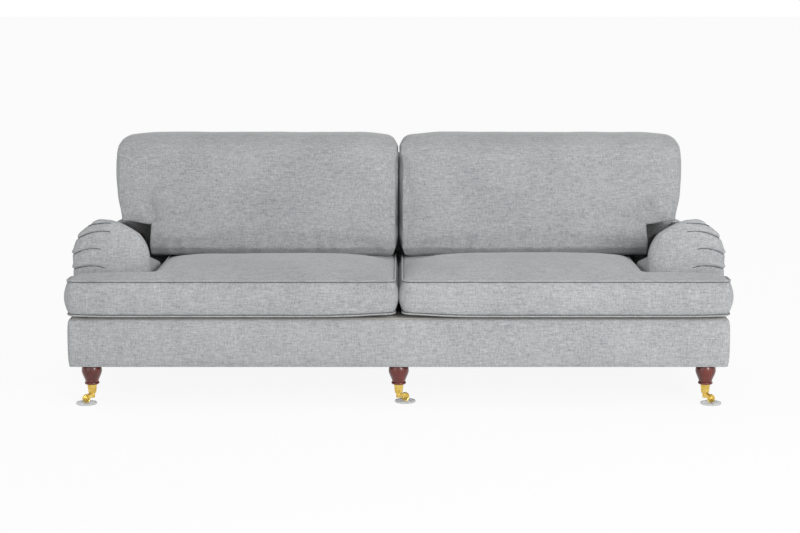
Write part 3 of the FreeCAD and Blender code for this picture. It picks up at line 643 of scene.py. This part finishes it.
def backCushion(name, node, dims):
    # the CAD cushion drawn to the photographed outline: filled foot, hanging wing, square shoulders
    piece = copyNode(node, name)
    makeActive(piece)
    piece.data.remesh_voxel_size = dims["grid"]
    bpy.ops.object.voxel_remesh()
    movePoints(piece, points(piece) - normals(piece) * dims["shrink"])
    places = points(piece)
    side = 1 if places[:, 0].mean() > 0 else -1
    x, y, z = places[:, 0] * side, places[:, 1].copy(), places[:, 2].copy()
    middle, half = dims["middle"], dims["halfLength"]
    share = (x - middle) / half
    under = z < dims["wingBottom"] - dims["armSlope"] * (y - dims["wingFront"])
    # the lower part fills the space up to the arm, and the wing hangs down over the arm's shoulder
    x += np.where(under, dims["armFill"] * ease(x, 0.86, 0.90), 0)
    wing = ~under & (x > dims["wingInner"])
    hang = (1 - ease(z, 0.545, 0.62)) * (1 - ease(x, 0.92, 1.03)) * ease(x, 0.88, 0.905)
    z -= np.where(wing, dims["wingHang"] * hang, 0)
    # square shoulders, and a top edge that dips towards them
    shoulder = ease(z, *dims["shoulderLevel"])
    x += dims["shoulder"] * np.sign(share) * np.minimum(np.abs(share), 1) ** 5 * shoulder
    z -= (dims["sink"] + dims["dip"] * ease(np.abs(share), 0.72, 1.02)) * shoulder
    x += dims["wide"] * ease(share, 0.5, 1.0) * ease(z, 0.56, 0.66) * (1 - 0.7 * ease(z, 0.76, 0.88))
    # the cover pulls in at the corner between wing and body, and puckers along the foot
    (pullX, pullZ), (pullWidth, pullHeight) = dims["pullPlace"], dims["pullSize"]
    pull = np.exp(-(((x - pullX) / pullWidth) ** 2) - (((z - pullZ) / pullHeight) ** 2))
    pucker = np.sin(x * 62 + np.sin(x * 23) * 2.2) * (1 - ease(z, 0.43, 0.55)) * ease(z, 0.415, 0.44)
    front = y < dims["frontSide"] + (z - dims["foot"]) * dims["lean"]
    y += np.where(front, dims["pull"] * pull + dims["pucker"] * pucker, 0)
    movePoints(piece, np.column_stack([x * side, y, z]))
    return piece


def keepClear(piece, side, dims):
    # holds the cushion off its neighbour, and off the arm below the wing
    places = points(piece)
    across = np.maximum(places[:, 0] * side, dims["joint"])
    besideArm = (places[:, 2] < dims["armLevel"]) & (across > dims["armReach"])
    across[besideArm] = dims["armReach"]
    places[:, 0] = across * side
    movePoints(piece, places)


filling = {
    "quality": 5,
    "mass": 0.35,
    "stretch": 18,
    "shear": 8,
    "bend": 2.5,
    "frames": 18,
}


def blowUp(piece, pressure, pinned, dims):
    # air pressure fills the cover, as stuffing does
    modifier = piece.modifiers.new("Cloth", "CLOTH")
    settings = modifier.settings
    settings.quality = dims["quality"]
    settings.mass = dims["mass"]
    settings.tension_stiffness = settings.compression_stiffness = dims["stretch"]
    settings.shear_stiffness = dims["shear"]
    settings.bending_stiffness = dims["bend"]
    settings.use_pressure = True
    settings.uniform_pressure_force = pressure
    settings.effector_weights.gravity = 0
    if pinned:
        settings.vertex_group_mass = "seams"
    modifier.collision_settings.use_collision = False
    modifier.collision_settings.use_self_collision = False
    modifier.point_cache.frame_start = 1
    modifier.point_cache.frame_end = dims["frames"] + 2


def settle(stuffed, frames):
    # runs the cloth of all cushions together, then keeps each point within its limit of where it started
    scene = bpy.context.scene
    starts = {piece: points(piece) for piece, limit in stuffed}
    for step in range(1, frames + 1):
        scene.frame_set(step)
    graph = bpy.context.evaluated_depsgraph_get()
    for piece, limit in stuffed:
        blown = np.empty(len(piece.data.vertices) * 3)
        piece.evaluated_get(graph).data.vertices.foreach_get("co", blown)
        moved = blown.reshape(-1, 3) - starts[piece]
        length = np.linalg.norm(moved, axis=1)
        share = limit * np.tanh(length / limit) / np.maximum(length, 1e-9)
        moved = moved * share[:, None]
        if piece.name.startswith("back"):
            # what the cushion leans and rests on holds it there
            moved[:, 1] = np.minimum(moved[:, 1], 0)
            moved[:, 2] = np.maximum(moved[:, 2], 0)
        piece.modifiers.clear()
        movePoints(piece, starts[piece] + moved)
    scene.frame_set(1)


def creases(piece, seed, amount=0.0012, size=0.09):
    # the uneven lie of real cloth over soft stuffing
    places = points(piece)
    wave = ripple(places, size, seed) * amount
    wave += ripple(places, size * 0.35, seed + 7) * amount * 0.35
    movePoints(piece, places + normals(piece) * wave[:, None])


def refine(piece):
    modifier = piece.modifiers.new("Fine", "SUBSURF")
    modifier.levels = modifier.render_levels = 1
    applyModifiers(piece)
    smooth(piece, 80)


seatPieces = {}
stuffed = []
for label, side in sides:
    cushion, outline = seatCushion(f"seatCushion{label}", side, seat)
    seatPieces[label] = (cushion, outline)
    stuffed.append((cushion, seat["puff"]))
backPieces = {}
for label, side in sides:
    backPieces[label] = backCushion(f"backCushion{label}", f"back_cushion_{label.lower()}", back)
stuffed += [(piece, back["puff"]) for piece in backPieces.values()]
for piece, limit in stuffed:
    isSeat = piece.name.startswith("seat")
    blowUp(piece, (seat if isSeat else back)["pressure"], isSeat, filling)
settle(stuffed, filling["frames"])
print("cushions filled")
for seed, (label, side) in enumerate(sides):
    node = f"seat_cushion_{label.lower()}"
    cushion, outline = seatPieces[label]
    creases(cushion, 3.1 + seed * 11)
    refine(cushion)
    dress(cushion, "linen_cloth", f"{node}_loose", node)
    # piping, and dark cords of painted shade in the creases beside it
    piping, shadeCordPiece = seatPiping(f"seatPiping{label}", side, outline, seat)
    dress(piping, "linen_cloth", f"{node}_loose")
    dressShadeCord(shadeCordPiece, f"{node}_loose")
    node = f"back_cushion_{label.lower()}"
    cushion = backPieces[label]
    creases(cushion, 23.7 + seed * 5, 0.0018, 0.12)
    refine(cushion)
    keepClear(cushion, side, back)
    dress(cushion, "linen_cloth", f"{node}_loose", node)
print("cushions finished")


# arms: a roll with a rounded front that is pleated on its outer side

arm = {
    "outer": 1.147,
    "inner": 0.877,
    "splay": 0.119,             # how much the inner side moves out towards the back
    "foot": 0.880,              # the lowest part of the inner side, which the seat cushion presses on
    "footTop": 0.445,
    "footDrop": 0.042,          # how much lower the foot is under the back cushion
    "footStep": 0.018,
    "ridge": 0.628,
    "ridgeIn": 0.133,           # from the inner side to where the flat top starts
    "ridgeOut": 0.097,
    "ridgeLeast": 0.004,
    "innerRoll": [(0.0, 0.148), (0.008, 0.094), (0.034, 0.049), (0.082, 0.019)],    # in, and below the top
    "outerRoll": [(0.024, 0.052), (0.0, 0.145)],
    "slope": 0.155,
    "fullFront": -0.300,        # where the roll has its full size, behind the rounded front
    "backEnd": 0.425,
    "domeDepth": 0.045,
    "domePower": 2.6,
    "domeSteps": 26,
    "centre": (1.012, 0.40),
    "low": 0.3055,
    "backLean": 0.1048,
    "leanStart": 0.30,
    "leanFoot": 0.279,
    "pleatDepth": 0.0055,
    "pleatWidth": 0.0026,
    "pleatLap": 0.0036,
    "lapWidth": 0.007,
    "lapRise": 0.009,
    "pleatFade": 0.05,
    "pleatWrap": 0.034,
    # radius of the dark cords of painted shade at the bottom of the pleats
    "shadeCordRadius": 0.0013,
    "pleats": [                 # outer end, middle and inner end of each pleat, across and up
        ((1.105, 0.606), (1.055, 0.617), (1.008, 0.619)),
        ((1.132, 0.562), (1.086, 0.584), (1.010, 0.590)),
        ((1.143, 0.508), (1.108, 0.525), (1.045, 0.530)),
        ((1.146, 0.455), (1.112, 0.466), (1.030, 0.465))],
}


def armProfile(y, dims):
    # the arm's outline at one distance along it, from the inner foot over the top to the outer foot
    along = max(0.0, y - dims["fullFront"])
    inner, outer = dims["inner"] + dims["splay"] * along, dims["outer"]
    top, low = dims["ridge"] - dims["slope"] * along, dims["low"]
    ridgeOut = outer - dims["ridgeOut"]
    ridgeIn = min(inner + dims["ridgeIn"], ridgeOut - dims["ridgeLeast"])
    foot = min(inner, dims["foot"])
    ledge = dims["footTop"] - float(seamFall(y, seat)) - dims["footDrop"] * float(ease(y, 0.05, 0.10))
    step = ledge + dims["footStep"]
    bottom, lower, middle, upper = [(inner + across, top - down) for across, down in dims["innerRoll"]]
    bottom = (inner, max(bottom[1], step + 0.002))
    bulge, side = [(outer - across, top - down) for across, down in dims["outerRoll"]]
    path = linePoints((foot, low), (foot, ledge), 12)
    path += linePoints((foot, ledge), (inner, step), 4)
    path += linePoints((inner, step), bottom, 6)
    path += arcPoints(bottom, lower, middle, 16)
    path += arcPoints(middle, upper, (ridgeIn, top), 18)
    path += linePoints((ridgeIn, top), (ridgeOut, top), 12)
    path += arcPoints((ridgeOut, top), bulge, side, 52)
    path += linePoints(side, (outer, low), 36)
    path += linePoints((outer, low), (inner, low), 10)
    return np.array(path)


def armRings(dims):
    # the rounded front grows out of its centre, then the roll runs back and follows the lean of the back
    rings = []
    full = armProfile(dims["fullFront"], dims)
    cx, cz = dims["centre"]
    power = dims["domePower"]
    shares = [0.0, 0.12, 0.25, 0.38, 0.5, 0.6, 0.7]
    turns = [math.pi / 2 * k / dims["domeSteps"] for k in range(1, dims["domeSteps"])]
    scales = shares + [math.sin(turn) ** (2 / power) for turn in turns]
    scales = sorted(scale for scale in scales if scale < 0.995)
    for scale in scales:
        y = dims["fullFront"] - dims["domeDepth"] * (1 - scale ** power) ** (1 / power)
        x = cx + (full[:, 0] - cx) * scale
        z = np.where(full[:, 1] > cz, cz + (full[:, 1] - cz) * scale, full[:, 1])
        rings.append(np.column_stack([x, np.full(len(x), y), z]))
    stations = [dims["fullFront"] + 0.004 * k for k in range(10)]
    stations += list(np.linspace(stations[-1] + 0.012, dims["backEnd"], 40))
    for y in stations:
        profile = armProfile(y, dims)
        lean = ease(y, dims["leanStart"], dims["backEnd"]) * dims["backLean"]
        lean = lean * (profile[:, 1] - dims["leanFoot"])
        rings.append(np.column_stack([profile[:, 0], y + lean, profile[:, 1]]))
    return rings


def pleat(places, outward, dims):
    # folds that run in from the outer side over the rounded front, each lapping over a sharp crease
    x, y, z = places.T
    push = np.zeros(len(places))
    for start, middle, end in dims["pleats"]:
        curve = fitCurve(start, middle, end)
        line = np.where(x > start[0], start[1], np.polyval(curve, np.clip(x, end[0], start[0])))
        gap = z - line
        reach = ease(x, end[0] - 0.01, end[0] + dims["pleatFade"])
        wrap = 1 - ease(y, dims["fullFront"], dims["fullFront"] + dims["pleatFade"])
        fold = dims["pleatLap"] * np.exp(-(((gap - dims["lapRise"]) / dims["lapWidth"]) ** 2))
        fold -= dims["pleatDepth"] * np.exp(-((gap / dims["pleatWidth"]) ** 2))
        push += fold * reach * wrap
    return places + outward * push[:, None]


def rollArm(name, dims):
    # one padded arm, refined before its pleats are pressed in
    piece = skin(name, armRings(dims))
    modifier = piece.modifiers.new("Fine", "SUBSURF")
    modifier.levels = modifier.render_levels = 1
    applyModifiers(piece)
    movePoints(piece, pleat(points(piece), normals(piece), dims))
    creases(piece, 41.0, 0.0008, 0.08)
    smooth(piece, 60)
    return piece


def pleatShadeCords(name, piece, dims):
    # a dark cord of painted shade in the crease at the bottom of each pleat, laid on the arm from its front round
    # to its side
    cords = []
    for number, (start, middle, end) in enumerate(dims["pleats"]):
        curve = fitCurve(start, middle, end)
        path = []
        for x in np.linspace(end[0], start[0] - 0.004, 26):
            hit, place, _, _ = piece.ray_cast(Vector((x, -1.0, np.polyval(curve, x))), Vector((0, 1, 0)))
            if hit:
                path.append(place)
        for y in np.linspace(path[-1].y + 0.003, path[-1].y + dims["pleatWrap"], 10):
            hit, place, _, _ = piece.ray_cast(Vector((2.0, y, start[1])), Vector((-1, 0, 0)))
            if hit:
                path.append(place)
        cords.append(cordAlong(f"{name}{number}", path, dims["shadeCordRadius"], closed=False))
    return joinPieces(name, cords)


armRight = rollArm("armRight", arm)
armLeft = mirrorPiece(armRight, "armLeft")
# dark cords of painted shade along the creases of the pleats, on both arms
pleatShadeRight = pleatShadeCords("armPleatShadeRight", armRight, arm)
pleatShadeLeft = mirrorPiece(pleatShadeRight, "armPleatShadeLeft")
for shadeCordPiece in (pleatShadeLeft, pleatShadeRight):
    dressShadeCord(shadeCordPiece, "sofa")
for label, piece in (("left", armLeft), ("right", armRight)):
    dress(piece, "linen_cloth", "sofa", f"arm_padding_{label}")
print("arms made")


# base: cloth pulled round the front and sides, with a welt along its lower edge

base = {
    "half": 1.150,
    "front": -0.472,
    "back": 0.4375,
    "corner": 0.017,
    "levels": [                 # height, and how far the cloth stands in from its fullest line
        (0.1345, 0.0125), (0.1360, 0.0085), (0.1395, 0.0055), (0.1450, 0.0035), (0.1550, 0.0018),
        (0.180, 0.0005), (0.215, 0.0), (0.250, 0.0004), (0.272, 0.0012), (0.285, 0.0024),
        (0.295, 0.0042), (0.3010, 0.0066), (0.3025, 0.0100), (0.3032, 0.0140)],
    "lip": (0.0146, 0.3025),    # how far in the top edge turns, and its height
    "inside": 0.0138,           # how far in the cloth's back lies at the sides, and at the front
    "frontInside": 0.0096,
    "insideLevels": (0.2950, 0.25, 0.19, 0.1345),
    "welt": 0.0026,
    "weltPlace": (0.0065, 0.1385),
}


def basePath(dims, spacing=0.012):
    # places round the back left, front left, front right and back right of the base, with the way out at each
    half, front, corner = dims["half"], dims["front"], dims["corner"]
    path = [((-half, y), (-1.0, 0.0)) for y in np.arange(dims["back"], front + corner, -spacing)]
    for k in range(9):
        turn = math.pi + math.pi / 2 * k / 8
        way = (math.cos(turn), math.sin(turn))
        path.append(((-half + corner + corner * way[0], front + corner + corner * way[1]), way))
    path += [((x, front), (0.0, -1.0)) for x in np.arange(-half + corner + spacing, half - corner, spacing)]
    right = [((-x, y), (-wx, wy)) for (x, y), (wx, wy) in path if x < -half + corner + 1e-6]
    return path + right[::-1]


def baseCover(dims):
    # one upright ring for each place on the path
    rings = []
    lip, lipLevel = dims["lip"]
    for (x, y), (wx, wy) in basePath(dims):
        ring = [(x - wx * inset, y - wy * inset, z) for z, inset in dims["levels"]]
        deep = dims["frontInside"] if wx == 0.0 else dims["inside"]
        ring += [(x - wx * lip, y - wy * lip, lipLevel)]
        ring += [(x - wx * deep, y - wy * deep, z) for z in dims["insideLevels"]]
        rings.append(ring)
    piece = skin("baseCover", rings)
    places = points(piece)
    wave = ripple(places * np.array([1, 1, 2]), 0.16, 61.0) * 0.0009
    wave += ripple(places, 0.035, 64.0) * 0.0003
    outer = (np.abs(places[:, 0]) > dims["half"] - 0.006) | (places[:, 1] < dims["front"] + 0.006)
    movePoints(piece, places + normals(piece) * (wave * outer)[:, None])
    refine(piece)
    return piece


cover = baseCover(base)
dress(cover, "linen_cloth", "sofa", "front_border", "side_cover_left", "side_cover_right")
weltIn, weltLevel = base["weltPlace"]
weltPath = [(x - wx * weltIn, y - wy * weltIn, weltLevel) for (x, y), (wx, wy) in basePath(base)]
welt = cordAlong("baseWelt", weltPath, base["welt"], closed=False)
dress(welt, "linen_cloth", "sofa")
print("base covered")


# inside back, outside back and deck

inside = {
    "half": 1.049,
    "path": [                   # back and up, round the slab from its front foot
        (0.3305, 0.306), (0.3755, 0.735), (0.3800, 0.757), (0.3930, 0.775), (0.4160, 0.7855),
        (0.4450, 0.7865), (0.4650, 0.7850), (0.4765, 0.7740), (0.4740, 0.735), (0.4335, 0.306)],
    "centre": (0.405, 0.55),
    "edge": 0.012,
    "edgeSteps": 5,
    "edgeShrink": 0.08,
    "spacing": 0.02,
}


def insideBack(dims):
    # a padded slab with softened ends, rolled over the top
    corners = [Vector(p) for p in dims["path"]]
    profile = []
    for start, end in zip(corners, corners[1:] + corners[:1]):
        profile += linePoints(start, end, max(1, int((end - start).length / dims["spacing"])))
    profile = np.array(profile)
    centre = np.array(dims["centre"])
    rings = []
    half, edge, steps = dims["half"], dims["edge"], dims["edgeSteps"]
    turns = [math.pi / 2 * k / steps for k in range(steps + 1)]
    ends = [(half - edge + edge * math.sin(t), 1 - (1 - math.cos(t)) * dims["edgeShrink"]) for t in turns]
    stations = [(-x, scale) for x, scale in ends[::-1]]
    stations += [(x, 1.0) for x in np.linspace(-half + 2 * edge, half - 2 * edge, 90)]
    stations += ends
    for x, scale in stations:
        ring = centre + (profile - centre) * np.array([1 - (1 - scale) * 1.5, scale])
        rings.append([(x, y, z) for y, z in ring])
    piece = skin("insideBack", rings)
    creases(piece, 71.0, 0.0012, 0.1)
    refine(piece)
    return piece


def roundEdges(piece, width, segments, angle, smoothAngle):
    # breaks the sharp edges of a CAD copy
    bevel = piece.modifiers.new("Round edge", "BEVEL")
    bevel.width = width
    bevel.segments = segments
    bevel.limit_method = "ANGLE"
    bevel.angle_limit = math.radians(angle)
    applyModifiers(piece)
    smooth(piece, smoothAngle)
    return piece


def deckCover():
    # the covered deck, from behind the front border to the back
    low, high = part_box("seat_deck")
    front = base["front"] + 0.014
    clearSelection()
    middle = ((low.x + high.x) / 2, (front + high.y) / 2, (low.z + high.z) / 2)
    bpy.ops.mesh.primitive_cube_add(size=1, location=middle)
    piece = bpy.context.object
    piece.name = piece.data.name = "deckCover"
    piece.scale = (high.x - low.x, high.y - front, high.z - low.z)
    bpy.ops.object.transform_apply(location=True, rotation=True, scale=True)
    bpy.ops.object.mode_set(mode="EDIT")
    bpy.ops.mesh.select_all(action="SELECT")
    bpy.ops.mesh.bevel(offset=0.006, segments=3)
    bpy.ops.mesh.select_all(action="SELECT")
    bpy.ops.mesh.subdivide(number_cuts=6)
    bpy.ops.object.mode_set(mode="OBJECT")
    smooth(piece, 50)
    return piece


inner = dress(insideBack(inside), "linen_cloth", "sofa", "back_padding")
panel = roundEdges(copyNode("outside_back", "outsideBack"), 0.003, 3, 35, 40)
dress(panel, "linen_cloth", "sofa", "outside_back")
deck = dress(deckCover(), "deck_felt", "sofa", "seat_deck")
print("back and deck covered")


# turned front legs and brass castors

leg = {
    "spacing": 1.072,
    "front": -0.425,
    "sides": 64,
    "wood": [                   # radius and height up each turning
        (0.0, 0.0675), (0.0205, 0.0675), (0.0240, 0.0682), (0.0257, 0.0705), (0.0257, 0.0735),
        (0.0245, 0.0752), (0.0226, 0.0762), (0.0232, 0.0800), (0.0252, 0.0860), (0.0284, 0.0930),
        (0.0318, 0.1010), (0.0345, 0.1090), (0.0355, 0.1150), (0.0352, 0.1210), (0.0341, 0.1270),
        (0.0326, 0.1320), (0.0318, 0.1344), (0.0, 0.1344)],
    "socket": [
        (0.0, 0.0352), (0.0118, 0.0352), (0.0130, 0.0356), (0.0137, 0.0366), (0.0139, 0.0380),
        (0.0149, 0.0480), (0.0160, 0.0580), (0.0168, 0.0650), (0.0172, 0.0662), (0.0172, 0.0670),
        (0.0160, 0.0674), (0.0, 0.0674)],
}


def lathe(name, profile, count, turnTo=None):
    # a turning: one ring for each step of the profile
    rings = []
    for radius, height in profile:
        angles = [2 * math.pi * k / count for k in range(count)]
        rings.append(np.array([(radius * math.cos(a), radius * math.sin(a), height) for a in angles]))
    if turnTo is not None:
        rings = [np.array([turnTo @ Vector(p) for p in ring]) for ring in rings]
    piece = skin(name, rings)
    smooth(piece, 40)
    return piece


def copyTo(piece, name, shift):
    # a twin with its own mesh, moved by its points so that it stays at the origin
    clearSelection()
    twin = piece.copy()
    twin.data = piece.data.copy()
    twin.name = twin.data.name = name
    bpy.context.scene.collection.objects.link(twin)
    movePoints(twin, points(twin) + np.array(shift))
    return twin


castorNames = ("left", "centre", "right")
legX = {"left": -leg["spacing"], "centre": 0.0, "right": leg["spacing"]}
woodLeg = lathe("legPattern", leg["wood"], leg["sides"])
socket = lathe("socketPattern", leg["socket"], leg["sides"])
woodLegs, sockets = [], []
for name in castorNames:
    shift = (legX[name], leg["front"], 0.0)
    woodLegs.append(copyTo(woodLeg, f"frontLeg{name.title()}", shift))
    sockets.append(copyTo(socket, f"castorSocket{name.title()}", shift))
for pattern in (woodLeg, socket):
    bpy.data.objects.remove(pattern)
for piece in woodLegs:
    dress(piece, "mahogany", "sofa", "front_legs")
for piece in sockets:
    dress(piece, "castor_brass", "sofa", "castor_sockets")

wheel = {
    "half": [                   # radius and distance from the middle plane, from the rim in to the hub
        (0.0150, 0.0030), (0.0147, 0.0040), (0.0138, 0.0045), (0.0125, 0.0042), (0.0115, 0.0034),
        (0.0060, 0.0040), (0.0052, 0.0046), (0.0034, 0.0046), (0.0034, 0.0058), (0.0030, 0.0062),
        (0.0, 0.0062)],
    "sides": 72,
}
wheelProfile = [(radius, -across) for radius, across in wheel["half"][::-1]] + wheel["half"]
cup = {
    "sides": 96,
    "round": 0.0012,
    "height": 0.006,
    "dish": [(0.0195, 0.006), (0.0183, 0.0056), (0.0180, 0.0049), (0.0174, 0.0037), (0.0, 0.0037)],
}
headings = {joint["child"]: joint for joint in frame["joints"] if joint["name"].startswith("castor_roll")}
for name in castorNames:
    joint = headings[f"castor_{name}_roller"]
    axis = Vector(joint["axis"])
    turnTo = Matrix.Translation(Vector(joint["pos_m"])) @ axis.to_track_quat("Z", "Y").to_matrix().to_4x4()
    roller = lathe(f"castorWheel{name.title()}", wheelProfile, wheel["sides"], turnTo)
    dress(roller, "castor_brass", f"castor_{name}_roller", f"castor_wheel_{name}")

    horn = roundEdges(copyNode(f"castor_horn_{name}", f"castorHorn{name.title()}"), 0.0005, 2, 40, 30)
    dress(horn, "castor_brass", f"castor_{name}", f"castor_horn_{name}")

    low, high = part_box(f"castor_cup_{name}")
    radius = (high.x - low.x) / 2
    edge, height = cup["round"], cup["height"]
    cupProfile = [
        (0.0, 0.0), (radius - edge, 0.0), (radius, edge), (radius, height - edge), (radius - edge, height)]
    centre = Matrix.Translation(((low.x + high.x) / 2, (low.y + high.y) / 2, 0.0))
    dish = lathe(f"castorCup{name.title()}", cupProfile + cup["dish"], cup["sides"], centre)
    dress(dish, "clear_plastic", f"castor_{name}", f"castor_cup_{name}")
print("legs and castors made")


# floor, light and camera

studio = {
    "floorWhite": 0.93,
    "floorGlow": 0.92,
    "skyLevel": 0.56,
    "key": {"place": (3.4, -5.6, 2.6), "size": 2.6, "power": 215.0},
    "fill": {"place": (-4.2, -5.0, 2.2), "size": 4.0, "power": 50.0},
    "camera": {"place": (0.0045, -7.62, 1.661), "pitch": 9.3, "lens": 94.68},
}


def showsWhite(tree):
    # camera, mirror and see-through rays all meet the white background
    path = tree.nodes.new("ShaderNodeLightPath")
    camera = Wire(tree, path.outputs["Is Camera Ray"])
    gloss = Wire(tree, path.outputs["Is Glossy Ray"])
    through = Wire(tree, path.outputs["Is Transmission Ray"])
    return camera.combine("MAXIMUM", camera.combine("MAXIMUM", camera, gloss), through)


def makeFloor():
    clearSelection()
    bpy.ops.mesh.primitive_plane_add(size=60, location=(0, 0, 0))
    floor = bpy.context.object
    floor.name = "floor"
    material = bpy.data.materials.new("studioFloor")
    material.use_nodes = True
    tree = material.node_tree
    plain = tree.nodes["Principled BSDF"]
    plain.inputs["Base Color"].default_value = (studio["floorWhite"],) * 3 + (1.0,)
    plain.inputs["Roughness"].default_value = 0.8
    plain.inputs["Specular IOR Level"].default_value = 0.0
    glow = tree.nodes.new("ShaderNodeEmission")
    mix = tree.nodes.new("ShaderNodeMixShader")
    tree.links.new((showsWhite(tree) * studio["floorGlow"]).socket, mix.inputs[0])
    tree.links.new(plain.outputs[0], mix.inputs[1])
    tree.links.new(glow.outputs[0], mix.inputs[2])
    tree.links.new(mix.outputs[0], tree.nodes["Material Output"].inputs["Surface"])
    floor.data.materials.append(material)


def makeSky():
    world = bpy.data.worlds.new("studioSky")
    bpy.context.scene.world = world
    world.use_nodes = True
    tree = world.node_tree
    background = tree.nodes["Background"]
    background.inputs["Color"].default_value = (1.0, 1.0, 1.0, 1.0)
    white = showsWhite(tree)
    level = white + (1 - white) * studio["skyLevel"]
    tree.links.new(level.socket, background.inputs["Strength"])


def addLamp(name, place, size, power):
    data = bpy.data.lights.new(name, "AREA")
    data.shape = "DISK"
    data.size = size
    data.energy = power
    lamp = bpy.data.objects.new(name, data)
    bpy.context.scene.collection.objects.link(lamp)
    lamp.location = place
    lamp.rotation_euler = (Vector((0, 0, 0.4)) - Vector(place)).to_track_quat("-Z", "Y").to_euler()


def addCamera(place, pitch, lens):
    data = bpy.data.cameras.new("camera")
    data.lens = lens
    data.sensor_width = 36
    data.clip_end = 100
    camera = bpy.data.objects.new("camera", data)
    bpy.context.scene.collection.objects.link(camera)
    camera.location = place
    camera.rotation_euler = (math.radians(90 - pitch), 0, 0)
    bpy.context.scene.camera = camera


makeFloor()
makeSky()
addLamp("keyLight", **studio["key"])
addLamp("fillLight", **studio["fill"])
addCamera(**studio["camera"])
bpy.context.scene.view_settings.view_transform = "Standard"
clearSelection()
